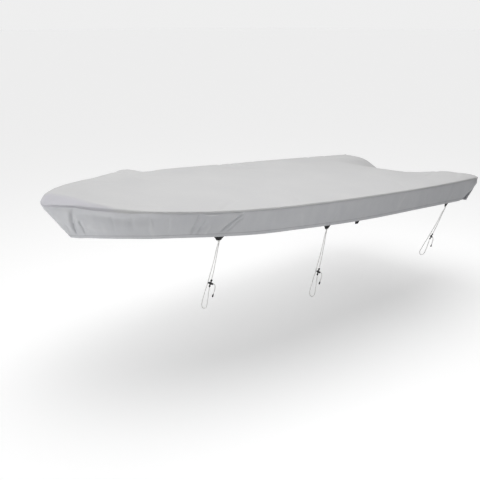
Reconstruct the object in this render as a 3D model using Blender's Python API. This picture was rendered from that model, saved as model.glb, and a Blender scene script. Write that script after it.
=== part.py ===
"""Fitted cover for an open dinghy: a woven top panel stretched over the gunwale, a skirt in three
panels below it, a row of webbing tabs under the hem, and tie-down cords on the port ones.

The cover is held at one mount under the middle of its top, which is the origin. X runs aft, the
port side is at -Y and Z is up. Stations are distances aft of the stem's line. Everything is in metres.
"""
import math

import bmesh
import bpy
from mathutils import Vector

# --- driving sizes -------------------------------------------------------------------------
MOUNT_STATION = 2.075       # the mount lies this far aft of the stem's line
CLOTH = 0.002               # thickness of the woven cloth
HEM_EXTRA = 0.0008          # the folded hem stands this much proud of the skirt
SEAM_GAP = 0.0003           # gap between two pieces that are sewn together
ROLL = 0.010                # radius with which the cloth turns over the gunwale
CROWN = 0.012               # rise of the top panel's middle over its edges

# The top panel ends in a narrow band below its roll, which widens at the shoulder of the bow:
# station, height of the band, and how far its seam with the skirt lies inboard.
RAIL_BAND = (
    (0.012, 0.0050, 0.0040),
    (0.125, 0.0050, 0.0020),
    (0.210, 0.0145, 0.0040),
    (0.330, 0.0150, 0.0040),
    (0.500, 0.0045, 0.0015),
    (4.145, 0.0045, 0.0015),
)

# The two outlines of the cover. Gunwale and hem points of a row are joined by the skirt.
#   station, half beam and height of the gunwale edge; station and half beam of the hem; depth
#   from the gunwale edge down to the hem
OUTLINE = (
    (0.012, 0.000, 0.126, 0.192, 0.000, 0.2625),
    (0.045, 0.098, 0.136, 0.232, 0.052, 0.275),
    (0.125, 0.207, 0.134, 0.260, 0.114, 0.264),
    (0.210, 0.312, 0.127, 0.312, 0.238, 0.244),
    (0.330, 0.440, 0.118, 0.398, 0.366, 0.226),
    (0.500, 0.566, 0.100, 0.548, 0.494, 0.210),
    (0.700, 0.667, 0.084, 0.733, 0.607, 0.200),
    (0.920, 0.746, 0.065, 0.940, 0.690, 0.198),
    (1.250, 0.822, 0.039, 1.262, 0.763, 0.203),
    (1.650, 0.868, 0.010, 1.656, 0.807, 0.205),
    (2.150, 0.889, -0.028, 2.152, 0.826, 0.213),
    (2.600, 0.890, -0.060, 2.600, 0.827, 0.216),
    (3.100, 0.888, -0.095, 3.098, 0.831, 0.209),
    (3.670, 0.866, -0.133, 3.652, 0.812, 0.212),
    (4.145, 0.826, -0.164, 4.060, 0.762, 0.224),
)
FIRST_STATION = 0.012
LAST_STATION = 4.145
CORNER_RADIUS = 0.022       # of the gunwale edge at the transom
HEM_CORNER_RADIUS = 0.022   # of the hem there
CORNER_STEPS = 3
ACROSS = 14                 # divisions of the top panel between its two sides

# Spacing of the sections along the cover: from this station on, this far apart.
SPACING = ((0.012, 0.030), (0.38, 0.080), (0.74, 0.030), (1.18, 0.14))
TAB_CLEARANCE = 0.022       # sections stay this far from those at a tab's edges

# Heights in the skirt, as shares of the way from the seam to the hem.
SKIRT_ROWS = (0.0, 0.17, 0.34, 0.51, 0.67, 0.815, 0.835, 1.0)
HEM_ROW = 0.825             # the hem's fold begins here
FOLD_END = 0.88             # the skirt's own folds have died out here
FOLD_FADE = 0.30            # over this share of its height

# The top falls to a lowered transom where an engine stands. The fall across the transom's line
# is uneven: the cloth hangs lower to starboard and is drawn up at the port quarter (y, fall).
DIP_START = 3.52            # station where the fall begins
DIP_PROFILE = (
    (-0.830, 0.000), (-0.760, -0.012), (-0.600, -0.009), (-0.460, 0.004), (-0.325, 0.032),
    (-0.170, 0.060), (0.060, 0.091), (0.190, 0.106), (0.277, 0.112), (0.345, 0.098),
    (0.430, 0.060), (0.510, 0.024), (0.600, 0.005), (0.830, 0.000),
)
ENGINE_HALF = 0.30          # half breadth of the arch cut in the transom panel
ENGINE_EDGE = 0.42
ENGINE_DEPTH = 0.085        # depth of the transom panel at the arch

# Soft swellings and hollows of the top: station, y, half length, half breadth, rise.
TOP_FORMS = (
    (1.175, 0.790, 0.150, 0.170, 0.036),
    (2.430, 0.620, 0.280, 0.170, -0.020),
    (0.230, 0.000, 0.150, 0.330, 0.014),
    (1.430, 0.840, 0.110, 0.160, -0.008),
    (0.960, 0.760, 0.120, 0.150, 0.010),
)

# Folds of the port skirt: along the gunwale from the stem and down from it at the fold's start,
# the same at its end, half width, and depth (a trough is positive, a ridge negative).
FOLDS = (
    (0.213, 0.044, 0.122, 0.232, 0.018, 0.010),
    (0.237, 0.115, 0.240, 0.215, 0.016, 0.006),
    (0.160, 0.060, 0.080, 0.220, 0.022, -0.006),
    (0.330, 0.080, 0.310, 0.200, 0.050, -0.008),
    (1.076, 0.040, 1.024, 0.155, 0.014, 0.006),
    (1.125, 0.085, 1.061, 0.155, 0.013, 0.005),
    (1.368, 0.042, 1.240, 0.148, 0.015, 0.007),
    (1.330, 0.040, 1.190, 0.165, 0.022, -0.004),
)

PORT = -1                   # sides, as the sign of y
STARBOARD = 1

# Tie-downs of the port side: name, station, drop from the knot to the tensioner's middle and to the
# lowest point of the cord's loop, and the inboard lean of the whole.
TIES = (
    ("1", 0.924, 0.336, 0.544, 0.27),
    ("2", 1.935, 0.363, 0.583, 0.18),
    ("3", 3.682, 0.315, 0.516, 0.38),
)
SPARE_TAB = 2.30            # station of the tab that carries no cord
TAB_WIDTH = 0.080           # of a tab where it leaves the hem
TAB_TIP = 0.035             # of its lower end
TAB_DROP = 0.031            # how far a tab hangs below the hem
TAB_TUCK = 0.018            # how far it is sewn in behind the hem
SPARE_WIDTH = 0.064         # the same sizes of the tab that carries no cord
SPARE_TIP = 0.038
SPARE_DROP = 0.027
WEBBING = 0.002

CORD = 0.006                # cord diameter
CORD_STEP = 3 * CORD        # spacing of a cord's points
CORD_SEGMENTS = 8           # a short cord has at least this many
CORD_SIDES = 2              # bevel resolution of the cords, which gives them eight sides
CLEAR = 0.0006              # gap between a cord's end and the piece it runs into
KNOT_WIDTH = 0.019
KNOT_DROP = 0.017
KNOT_THICK = 0.013

# Cord routes: aft, outboard and level. Level 0 is the knot's middle, 1 the tensioner's and 2 the
# lowest point of the loop, which hangs open where it would pass round a rail.
LONG_ROUTE = (
    (-0.0050, -0.003, 0.18), (-0.0060, -0.006, 0.45), (-0.0090, -0.013, 0.74), (-0.0125, -0.021, 1.02),
    (-0.0150, -0.029, 1.35), (-0.0165, -0.036, 1.72), (-0.0165, -0.036, 1.88), (-0.0160, -0.026, 1.975),
    (-0.0150, -0.011, 2.00), (-0.0140, 0.004, 1.975), (-0.0130, 0.013, 1.88), (-0.0120, 0.013, 1.70),
    (-0.0090, 0.006, 1.38),
)
SHORT_ROUTE = ((0.0045, 0.001, 0.18), (0.0040, 0.002, 0.45), (0.0040, 0.001, 0.74))
CORDS_APART = 0.0036        # each cord leaves the knot this far from its middle
# The loose tail leaves the cross bar, turns down here (aft and down of the tensioner's middle) and
# hangs from there: aft, outboard and down.
TAIL_BEND = (0.0385, 0.0205)
TAIL_ROUTE = (
    (0.0050, 0.001, 0.0140), (0.0035, 0.002, 0.0320), (-0.0045, 0.002, 0.0520), (-0.0115, 0.001, 0.0690),
)
CAP_LENGTH = 0.025
CAP_PROFILE = ((0.0, 0.0036), (0.3, 0.0046), (0.62, 0.0060), (0.86, 0.0052), (1.0, 0.0024))
CAP_SIDES = 10

# The tensioner's outline seen from the side, as rounds about its middle: aft and down of the
# start, the same of the end, radius. Eye, cross bar, foot ball and the neck that joins them.
TENSIONER_FORMS = (
    (0.001, -0.0245, 0.001, -0.0245, 0.0095),
    (-0.0190, -0.0110, 0.0190, 0.0110, 0.0080),
    (-0.0065, 0.0215, -0.0065, 0.0215, 0.0076),
    (0.001, -0.0245, -0.0065, 0.0215, 0.0055),
)
TENSIONER_THICK = 0.009
TENSIONER_ROUND = 0.0016    # its edges are eased by this much
TENSIONER_SIDES = 28


# --- the cloth's shape -----------------------------------------------------------------------
def smooth_step(value):
    value = min(1.0, max(0.0, value))
    return value * value * (3 - 2 * value)


def bow_measure(station):
    """Measure along the outline that stays even at the bow, where the edge runs square to the keel."""
    return math.sqrt(max(0.0, station - FIRST_STATION))


def smooth_between(rows, station):
    """Row of the outline table at a station, on a smooth curve through the rows."""
    if station <= rows[0][0]:
        return rows[0]
    last = len(rows) - 2
    index = next((i for i in range(last + 1) if rows[i + 1][0] >= station), last)
    low, high = rows[index], rows[index + 1]
    before = rows[index - 1] if index else None
    after = rows[index + 2] if index < last else None
    span = bow_measure(high[0]) - bow_measure(low[0])
    share = (bow_measure(station) - bow_measure(low[0])) / span
    result = []
    for column in range(len(low)):
        rise = high[column] - low[column]
        slope_low = rise if before is None else (
            (high[column] - before[column]) * span
            / (bow_measure(high[0]) - bow_measure(before[0])))
        slope_high = rise if after is None else (
            (after[column] - low[column]) * span
            / (bow_measure(after[0]) - bow_measure(low[0])))
        square, cube = share * share, share ** 3
        result.append((2 * cube - 3 * square + 1) * low[column] + (cube - 2 * square + share) * slope_low
                      + (3 * square - 2 * cube) * high[column] + (cube - square) * slope_high)
    result[0] = station
    return result


def section_stations():
    """Stations of the sections, closer together where the skirt is folded or carries a tab."""
    stations = []
    for index, (start, step) in enumerate(SPACING):
        end = SPACING[index + 1][0] if index + 1 < len(SPACING) else LAST_STATION
        count = round((end - start) / step)
        stations += [start + (end - start) * n / count for n in range(count)]
    stations.append(LAST_STATION)
    tabs = [(tie[1], TAB_WIDTH) for tie in TIES] + [(SPARE_TAB, SPARE_WIDTH)]
    tab_edges = [place + side * width / 2 for place, width in tabs for side in (-1, 0, 1)]
    ends = (FIRST_STATION, LAST_STATION)
    clear = [s for s in stations if s in ends or min(abs(s - e) for e in tab_edges) > TAB_CLEARANCE]
    return sorted(clear + tab_edges)


def dip(station, y):
    """Fall of the top towards the lowered transom."""
    along = smooth_step((station - DIP_START) / (LAST_STATION + CORNER_RADIUS - DIP_START))
    if y <= DIP_PROFILE[0][0] or y >= DIP_PROFILE[-1][0]:
        return 0.0
    index = next(i for i, row in enumerate(DIP_PROFILE) if row[0] > y)
    (low_y, low), (high_y, high) = DIP_PROFILE[index - 1:index + 1]
    return along * (low + (high - low) * (y - low_y) / (high_y - low_y))


def top_form(station, y):
    """Swellings and hollows of the top panel."""
    total = 0.0
    for middle, middle_y, half_length, half_breadth, rise in TOP_FORMS:
        reach = ((station - middle) / half_length) ** 2 + ((y - middle_y) / half_breadth) ** 2
        total += rise * math.exp(-reach)
    return total


def fold_depth(along, down):
    """Depth of the port skirt's folds at a place on it."""
    total = 0.0
    for start, start_down, end, end_down, half_width, depth in FOLDS:
        run = Vector((end - start, end_down - start_down))
        place = Vector((along - start, down - start_down))
        share = place.dot(run) / run.length_squared
        aside = abs(place.x * run.y - place.y * run.x) / run.length
        ends = smooth_step((share + 0.35) / 0.35) * smooth_step((1.35 - share) / 0.35)
        total += depth * ends * math.exp(-(aside / half_width) ** 2)
    return total


class Section:
    """One section of the cover's side: its gunwale and hem points on the port side."""

    def __init__(self, gunwale, hem, station):
        self.gunwale = Vector(gunwale)
        self.hem = Vector(hem)
        self.station = station
        self.outward = Vector((0, -1, 0))
        self.along = 0.0


def port_sections():
    """Sections from the bow tip round the port quarter to the transom's own line."""
    sections = []
    for station in section_stations():
        _, beam, height, hem_station, hem_beam, depth = smooth_between(OUTLINE, station)
        sections.append(Section((station, -beam, height), (hem_station, -hem_beam, height - depth), station))
    _, beam, height, hem_station, hem_beam, depth = OUTLINE[-1]
    for step in range(1, CORNER_STEPS + 1):
        turn = math.pi / 2 * step / CORNER_STEPS
        aft, inboard = math.sin(turn), 1 - math.cos(turn)
        gunwale = (LAST_STATION + CORNER_RADIUS * aft, -beam + CORNER_RADIUS * inboard, height)
        hem = (hem_station + HEM_CORNER_RADIUS * aft, -hem_beam + HEM_CORNER_RADIUS * inboard,
               height - depth)
        sections.append(Section(gunwale, hem, gunwale[0]))
    for index, section in enumerate(sections):
        before = sections[max(index - 1, 0)].gunwale
        after = sections[min(index + 1, len(sections) - 1)].gunwale
        run = after - before
        section.outward = Vector((-abs(run.y), -run.x, 0)).normalized()
        if run.y > 0:
            section.outward.x = -section.outward.x
        if index:
            last = sections[index - 1]
            section.along = last.along + (section.gunwale - last.gunwale).length
    sections[0].outward = Vector((-1, 0, 0))
    sections[-1].outward = Vector((1, 0, 0))
    return sections


def rail_band(station):
    """Height of the top panel's band at a station, and how far its seam lies inboard."""
    index = next((i for i, row in enumerate(RAIL_BAND) if row[0] > station), len(RAIL_BAND) - 1)
    low, high = RAIL_BAND[index - 1:index + 1]
    share = smooth_step((station - low[0]) / (high[0] - low[0]))
    return [before + (after - before) * share for before, after in zip(low[1:], high[1:])]


def wall_points(section, folded):
    """Points of the cloth at a section, from the start of the gunwale's roll to the hem."""
    edge, outward = section.gunwale.copy(), section.outward
    edge.z += top_form(edge.x, edge.y) - dip(edge.x, edge.y) - ROLL
    points = []
    for turn in (math.pi / 2, math.pi / 4, 0.0):
        points.append(edge - outward * ROLL * (1 - math.cos(turn)) + Vector((0, 0, ROLL * math.sin(turn))))
    face, tuck = rail_band(section.station)
    seam = edge - outward * tuck - Vector((0, 0, face))
    hem = section.hem.copy()
    down = hem - seam
    normal = outward.copy()
    normal -= down * (normal.dot(down) / down.length_squared)
    normal.normalize()
    for share in SKIRT_ROWS:
        depth = fold_depth(section.along, face + share * -down.z) if folded and share else 0.0
        depth *= smooth_step((FOLD_END - share) / FOLD_FADE)
        proud = HEM_EXTRA if share > HEM_ROW else 0.0
        points.append(seam + down * share + normal * (proud - depth))
    return points


def mirrored(points):
    return [Vector((p.x, -p.y, p.z)) for p in points]


def transom_wall(y):
    """Points of the cloth across the transom, with the arch cut for an engine."""
    _, _, height, hem_station, _, depth = OUTLINE[-1]
    arch = smooth_step((ENGINE_EDGE - abs(y)) / (ENGINE_EDGE - ENGINE_HALF))
    fall = dip(LAST_STATION + CORNER_RADIUS, y)
    top = height - fall
    hem_height = (height - depth) * (1 - arch) + (top - ENGINE_DEPTH) * arch
    rake = (LAST_STATION + CORNER_RADIUS - hem_station - HEM_CORNER_RADIUS) / depth
    hem = (LAST_STATION + CORNER_RADIUS - rake * (height - hem_height - fall * arch), y, hem_height)
    section = Section((LAST_STATION + CORNER_RADIUS, y, height), hem, LAST_STATION + CORNER_RADIUS)
    section.outward = Vector((1, 0, 0))
    return wall_points(section, False)


class Cloth:
    """The whole cover as one sheet of points and faces, each face marked with its piece."""

    def __init__(self):
        self.points, self.faces, self.normals = {}, [], {}
        self.sections = port_sections()
        self.add_walls()
        self.add_top()
        self.place_at_mount()
        self.work_out_normals()

    def add_walls(self):
        count = len(self.sections)
        columns = [("bow", wall_points(self.sections[0], False))]
        columns += [("port", wall_points(s, True)) for s in self.sections[1:]]
        half = -self.sections[-1].gunwale.y
        columns += [("transom", transom_wall(half * (2 * j / ACROSS - 1))) for j in range(1, ACROSS)]
        columns += [("starboard", mirrored(self.starboard_wall(s))) for s in reversed(self.sections[1:])]
        self.loop = len(columns)
        self.rows = len(columns[0][1])
        for column, (_, wall) in enumerate(columns):
            for row, point in enumerate(wall):
                self.points["wall", column, row] = point
        port_end = count - 1 - CORNER_STEPS
        starboard_end = self.loop - port_end
        self.seam_row = 3
        self.port_end, self.starboard_end = port_end, starboard_end
        for column in range(self.loop):
            after = (column + 1) % self.loop
            skirt = "skirt_port" if column < port_end else (
                "skirt_transom" if column < starboard_end else "skirt_starboard")
            for row in range(self.rows - 1):
                piece = "top_panel" if row < self.seam_row else skirt
                self.faces.append((piece, (("wall", column, row), ("wall", column, row + 1),
                                           ("wall", after, row + 1), ("wall", after, row))))

    def starboard_wall(self, section):
        """The starboard side as a port one, with the top's own forms of that side."""
        mirror = Section(section.gunwale, section.hem, section.station)
        mirror.outward = section.outward
        station, y = section.gunwale.x, section.gunwale.y
        mirror.gunwale.z += top_form(station, -y) - top_form(station, y)
        return wall_points(mirror, False)

    def add_top(self):
        lines = len(self.sections) - 1
        for line in range(1, lines):
            for j in range(ACROSS + 1):
                self.points["top", line, j] = self.top_point(line, j / ACROSS)
        for j in range(ACROSS):
            tip = (self.top_key(0, 0), self.top_key(1, j), self.top_key(1, j + 1))
            self.faces.append(("top_panel", tip))
            for line in range(1, lines):
                self.faces.append(("top_panel", (self.top_key(line, j), self.top_key(line + 1, j),
                                                 self.top_key(line + 1, j + 1), self.top_key(line, j + 1))))

    def top_key(self, line, j):
        """Name of a point of the top: its edge points are the first row of the wall."""
        lines = len(self.sections) - 1
        if line == 0:
            return "wall", 0, 0
        if j == 0:
            return "wall", line, 0
        if j == ACROSS:
            return "wall", self.loop - line, 0
        return ("wall", lines + j, 0) if line == lines else ("top", line, j)

    def top_point(self, line, share):
        port = self.points["wall", line, 0]
        starboard = self.points["wall", self.loop - line, 0]
        edges = [p.z - top_form(p.x, p.y) + dip(p.x, p.y) for p in (port, starboard)]
        point = port.lerp(starboard, share)
        across = 2 * share - 1
        point.z = (edges[0] + edges[1]) / 2 + CROWN * (1 - across ** 4)
        point.z += top_form(point.x, point.y) - dip(point.x, point.y)
        return point

    def place_at_mount(self):
        """Bring the underside of the top's middle, at the mount's station, to the origin."""
        middle = smooth_between(OUTLINE, MOUNT_STATION)[2] + CROWN + top_form(MOUNT_STATION, 0)
        shift = Vector((-MOUNT_STATION, 0, CLOTH - middle))
        self.shift = shift
        for point in self.points.values():
            point += shift

    def work_out_normals(self):
        sums = {key: Vector() for key in self.points}
        for _, keys in self.faces:
            corners = [self.points[key] for key in keys]
            area = Vector()
            for index in range(1, len(corners) - 1):
                area += (corners[index] - corners[0]).cross(corners[index + 1] - corners[0])
            for key in keys:
                sums[key] += area
        self.normals = {key: total.normalized() for key, total in sums.items() if total.length}

    def nudge(self, piece, key):
        """Half the seam's gap, away from the neighbouring piece."""
        if key[0] != "wall":
            return Vector()
        _, column, row = key
        move = Vector()
        if row == self.seam_row:
            down = (self.points["wall", column, row + 1] - self.points["wall", column, row - 1]).normalized()
            move += down * (-SEAM_GAP / 2 if piece == "top_panel" else SEAM_GAP / 2)
        at_end = column in (0, self.port_end, self.starboard_end)
        if row >= self.seam_row and piece != "top_panel" and at_end:
            before = self.points["wall", (column - 1) % self.loop, row]
            after = self.points["wall", (column + 1) % self.loop, row]
            aft = (after - before).normalized()
            first = {"skirt_port": 0, "skirt_transom": self.port_end, "skirt_starboard": self.starboard_end}
            move += aft * (SEAM_GAP / 2 if first[piece] == column else -SEAM_GAP / 2)
        return move

    def solid(self, piece, colour, roughness):
        """One piece of the sheet as a closed solid of the cloth's thickness."""
        bm = bmesh.new()
        outer, inner = {}, {}
        faces = [keys for name, keys in self.faces if name == piece]
        for keys in faces:
            for key in keys:
                if key not in outer:
                    place = self.points[key] + self.nudge(piece, key)
                    outer[key] = bm.verts.new(place)
                    inner[key] = bm.verts.new(place - self.normals[key] * CLOTH)
        edges = set()
        for keys in faces:
            bm.faces.new([outer[key] for key in keys])
            bm.faces.new([inner[key] for key in reversed(keys)])
            edges.update(zip(keys, keys[1:] + keys[:1]))
        for start, end in edges:
            if (end, start) not in edges:
                bm.faces.new((outer[end], outer[start], inner[start], inner[end]))
        return finish_object(piece, bm, colour, roughness)

    def inner_point(self, column, row, depth):
        """A point this far in behind the cloth's outer face."""
        key = ("wall", column, row)
        return self.points[key] - self.normals[key] * depth


# --- objects and materials ---------------------------------------------------------------------
def material(name, colour, roughness):
    result = bpy.data.materials.new(name)
    result.use_nodes = True
    shader = result.node_tree.nodes["Principled BSDF"]
    shader.inputs["Base Color"].default_value = (*colour, 1)
    shader.inputs["Roughness"].default_value = roughness
    shader.inputs["Metallic"].default_value = 0.0
    return result


def finish_object(name, bm, colour, roughness):
    mesh = bpy.data.meshes.new(name)
    bm.to_mesh(mesh)
    bm.free()
    mesh.shade_smooth()
    mesh.set_sharp_from_angle(angle=math.radians(40))
    part = bpy.data.objects.new(name, mesh)
    part.data.materials.append(material(name, colour, roughness))
    bpy.context.scene.collection.objects.link(part)
    return part


# --- tabs and tie-downs ------------------------------------------------------------------------
BLACK = (0.02, 0.02, 0.022)
WHITE = (0.80, 0.80, 0.78)


def make_tab(cloth, side, name, station, tip_width, drop):
    """A webbing tab sewn in behind the hem, narrowing to its tip. Returns the tip and its fall."""
    stations = [s.station for s in cloth.sections]
    middle = min(range(len(stations)), key=lambda i: abs(stations[i] - station))
    columns = [middle - 1, middle, middle + 1]
    if side == STARBOARD:
        columns = [cloth.loop - column for column in columns]
    hem = cloth.rows - 1
    layers, tips = [], []
    bm = bmesh.new()
    for depth in (CLOTH + SEAM_GAP, CLOTH + SEAM_GAP + WEBBING):
        at_hem = [cloth.inner_point(column, hem, depth) for column in columns]
        above = [cloth.inner_point(column, hem - 1, depth) for column in columns]
        falls = [(low - high).normalized() for low, high in zip(at_hem, above)]
        tip = at_hem[1] + falls[1] * drop
        half_tip = (at_hem[2] - at_hem[0]).normalized() * tip_width / 2
        rows = [[low - fall * TAB_TUCK for low, fall in zip(at_hem, falls)], at_hem,
                [tip - half_tip, tip, tip + half_tip]]
        layers.append([[bm.verts.new(point) for point in row] for row in rows])
        tips.append(tip)
    front, back = layers
    for r in range(2):
        for c in range(2):
            bm.faces.new((front[r][c], front[r + 1][c], front[r + 1][c + 1], front[r][c + 1]))
            bm.faces.new((back[r][c], back[r][c + 1], back[r + 1][c + 1], back[r + 1][c]))
    rim = [(0, 0), (0, 1), (0, 2), (1, 2), (2, 2), (2, 1), (2, 0), (1, 0)]
    for (r, c), (r2, c2) in zip(rim, rim[1:] + rim[:1]):
        bm.faces.new((front[r][c], front[r2][c2], back[r2][c2], back[r][c]))
    bmesh.ops.recalc_face_normals(bm, faces=bm.faces)
    finish_object(name, bm, BLACK, 0.7)
    return (tips[0] + tips[1]) / 2, falls[1]


def cord_points(route):
    """Evenly spaced points on a smooth curve through a route."""
    fine = []
    for index in range(len(route) - 1):
        low, high = route[index], route[index + 1]
        before = route[index - 1] if index else low - (high - low)
        after = route[index + 2] if index + 2 < len(route) else high + (high - low)
        for step in range(12):
            t = step / 12
            bend = 2 * before - 5 * low + 4 * high - after
            twist = 3 * low - before - 3 * high + after
            fine.append(0.5 * (2 * low + (high - before) * t + bend * t * t + twist * t ** 3))
    fine.append(route[-1])
    lengths = [0.0]
    for start, end in zip(fine, fine[1:]):
        lengths.append(lengths[-1] + (end - start).length)
    count = max(CORD_SEGMENTS, round(lengths[-1] / CORD_STEP))
    points = []
    for n in range(count + 1):
        wanted = lengths[-1] * n / count
        index = next((i for i, v in enumerate(lengths) if v > wanted), len(fine) - 1)
        share = (wanted - lengths[index - 1]) / (lengths[index] - lengths[index - 1])
        points.append(fine[index - 1].lerp(fine[index], share))
    return points


def make_cord(name, route):
    points = cord_points(route)
    curve = bpy.data.curves.new(name, "CURVE")
    curve.dimensions = "3D"
    curve.bevel_depth = CORD / 2
    curve.bevel_resolution = CORD_SIDES
    curve.use_fill_caps = True
    spline = curve.splines.new("POLY")
    spline.points.add(len(points) - 1)
    for slot, point in zip(spline.points, points):
        slot.co = (*point, 1)
    curve.materials.append(material(name, WHITE, 0.8))
    bpy.context.scene.collection.objects.link(bpy.data.objects.new(name, curve))


def reach(direction):
    """Distance from the tensioner's middle to its outline in a direction."""
    farthest = 0.0
    for aft, down, end_aft, end_down, radius in TENSIONER_FORMS:
        for step in range(9):
            middle = Vector((aft, down)).lerp(Vector((end_aft, end_down)), step / 8)
            along = middle.dot(direction)
            inside = radius ** 2 - middle.length_squared + along ** 2
            if inside >= 0:
                farthest = max(farthest, along + math.sqrt(inside))
    return farthest


class TieDown:
    """Knot, cords, tensioner and end cap that hang from the tip of one port tab."""

    def __init__(self, name, tip, fall, drop, loop, lean):
        self.name, self.lean = name, lean
        self.drop, self.loop = drop, loop
        self.knot = tip + fall * KNOT_DROP / 2
        self.middle = self.place(0.0, 0.0, 1.0)
        length = math.hypot(1, lean)
        self.along = Vector((0, -PORT * lean, -1)) / length
        self.outward = Vector((0, PORT, -lean)) / length

    def place(self, aft, outboard, level):
        down = level * self.drop if level < 1 else self.drop + (level - 1) * (self.loop - self.drop)
        return self.knot + Vector((aft, PORT * (outboard - self.lean * down), -down))

    def on_tensioner(self, aft, down, out):
        return self.middle + Vector((aft, 0, 0)) + self.along * down + self.outward * out

    def make(self):
        self.make_knot()
        self.make_cords()
        self.make_tensioner()

    def make_knot(self):
        bm = bmesh.new()
        bmesh.ops.create_uvsphere(bm, u_segments=10, v_segments=7, radius=0.5)
        bmesh.ops.scale(bm, verts=bm.verts, vec=(KNOT_WIDTH, KNOT_THICK, KNOT_DROP))
        bmesh.ops.translate(bm, verts=bm.verts, vec=self.knot)
        finish_object("knot_" + self.name, bm, WHITE, 0.8)

    def make_cords(self):
        under = KNOT_DROP / 2 + CLEAR
        start = self.knot + Vector((0, 0, -under))
        apart = Vector((CORDS_APART, 0, 0))
        eye_aft, eye_down, _, _, eye_radius = TENSIONER_FORMS[0]
        foot_aft, foot_down, _, _, foot_radius = TENSIONER_FORMS[2]
        to_foot = self.on_tensioner(foot_aft, foot_down + foot_radius + CLEAR, 0.0)
        to_eye = self.on_tensioner(eye_aft, eye_down - eye_radius - CLEAR, 0.0)
        long_route = [self.place(*row) for row in LONG_ROUTE]
        short_route = [self.place(*row) for row in SHORT_ROUTE]
        make_cord("long_cord_" + self.name, [start - apart] + long_route + [to_foot])
        make_cord("short_cord_" + self.name, [start + apart] + short_route + [to_eye])
        _, _, bar_aft, bar_down, bar_radius = TENSIONER_FORMS[1]
        reached = 1 + (bar_radius + CLEAR) / math.hypot(bar_aft, bar_down)
        bend = self.on_tensioner(*TAIL_BEND, 0.0)
        tail = [self.on_tensioner(bar_aft * reached, bar_down * reached, 0.0), bend]
        tail += [bend + Vector((aft, PORT * out, -down)) for aft, out, down in TAIL_ROUTE]
        make_cord("tail_cord_" + self.name, tail)
        self.make_cap(tail[-1], (tail[-1] - tail[-2]).normalized())

    def make_cap(self, top, fall):
        """A tapered cap on the end of the tail, widest near its foot."""
        sideways = fall.orthogonal().normalized()
        forward = fall.cross(sideways)
        bm = bmesh.new()
        rings = []
        for share, radius in CAP_PROFILE:
            middle = top + fall * (CLEAR + share * CAP_LENGTH)
            angles = [2 * math.pi * n / CAP_SIDES for n in range(CAP_SIDES)]
            rings.append([bm.verts.new(middle + radius * (math.cos(a) * sideways + math.sin(a) * forward))
                          for a in angles])
        for upper, lower in zip(rings, rings[1:]):
            for n in range(CAP_SIDES):
                after = (n + 1) % CAP_SIDES
                bm.faces.new((upper[n], upper[after], lower[after], lower[n]))
        bm.faces.new(rings[0])
        bm.faces.new(rings[-1])
        bmesh.ops.recalc_face_normals(bm, faces=bm.faces)
        finish_object("end_cap_" + self.name, bm, BLACK, 0.45)

    def make_tensioner(self):
        bm = bmesh.new()
        layers = []
        half = TENSIONER_THICK / 2
        for out, inset in ((-half, TENSIONER_ROUND), (TENSIONER_ROUND - half, 0.0),
                           (half - TENSIONER_ROUND, 0.0), (half, TENSIONER_ROUND)):
            ring = []
            for n in range(TENSIONER_SIDES):
                turn = 2 * math.pi * n / TENSIONER_SIDES
                direction = Vector((math.cos(turn), math.sin(turn)))
                place = direction * (reach(direction) - inset)
                ring.append(bm.verts.new(self.on_tensioner(place.x, place.y, out)))
            layers.append(ring)
        for lower, upper in zip(layers, layers[1:]):
            for n in range(TENSIONER_SIDES):
                after = (n + 1) % TENSIONER_SIDES
                bm.faces.new((lower[n], lower[after], upper[after], upper[n]))
        for ring, out in ((layers[0], -half), (layers[-1], half)):
            middle = bm.verts.new(self.on_tensioner(0.0, 0.0, out))
            for n in range(TENSIONER_SIDES):
                bm.faces.new((ring[n], ring[(n + 1) % TENSIONER_SIDES], middle))
        bmesh.ops.recalc_face_normals(bm, faces=bm.faces)
        finish_object("tensioner_" + self.name, bm, BLACK, 0.45)


# --- the whole ---------------------------------------------------------------------------------
def build_cloth():
    cloth = Cloth()
    light_grey = (0.62, 0.62, 0.64)
    for piece in ("top_panel", "skirt_port", "skirt_starboard", "skirt_transom"):
        cloth.solid(piece, light_grey, 0.8)
    return cloth


def build_tabs(cloth):
    """Tabs under both hems, and the tie-downs that hang from the port ones."""
    for side, side_name in ((PORT, "port"), (STARBOARD, "starboard")):
        make_tab(cloth, side, "tab_" + side_name + "_spare", SPARE_TAB, SPARE_TIP, SPARE_DROP)
        for name, station, drop, loop, lean in TIES:
            tip, fall = make_tab(cloth, side, "tab_" + side_name + "_" + name, station, TAB_TIP, TAB_DROP)
            if side == PORT:
                TieDown("port_" + name, tip, fall, drop, loop, lean).make()


def clear_scene():
    for old in list(bpy.data.objects):
        bpy.data.objects.remove(old)


clear_scene()
COVER = build_cloth()
build_tabs(COVER)
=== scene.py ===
"""Fitted cover of pale woven cloth: a top panel, a skirt in three strips with a folded hem, black
webbing tabs sewn in behind the hem, and white tie-downs on the port ones. X runs aft, the port side is
at -Y, Z is up, and the mount under the middle of the top is the origin. Everything is in metres.
"""
import math

import bmesh
import bpy
from mathutils import Matrix, Vector, noise


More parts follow.
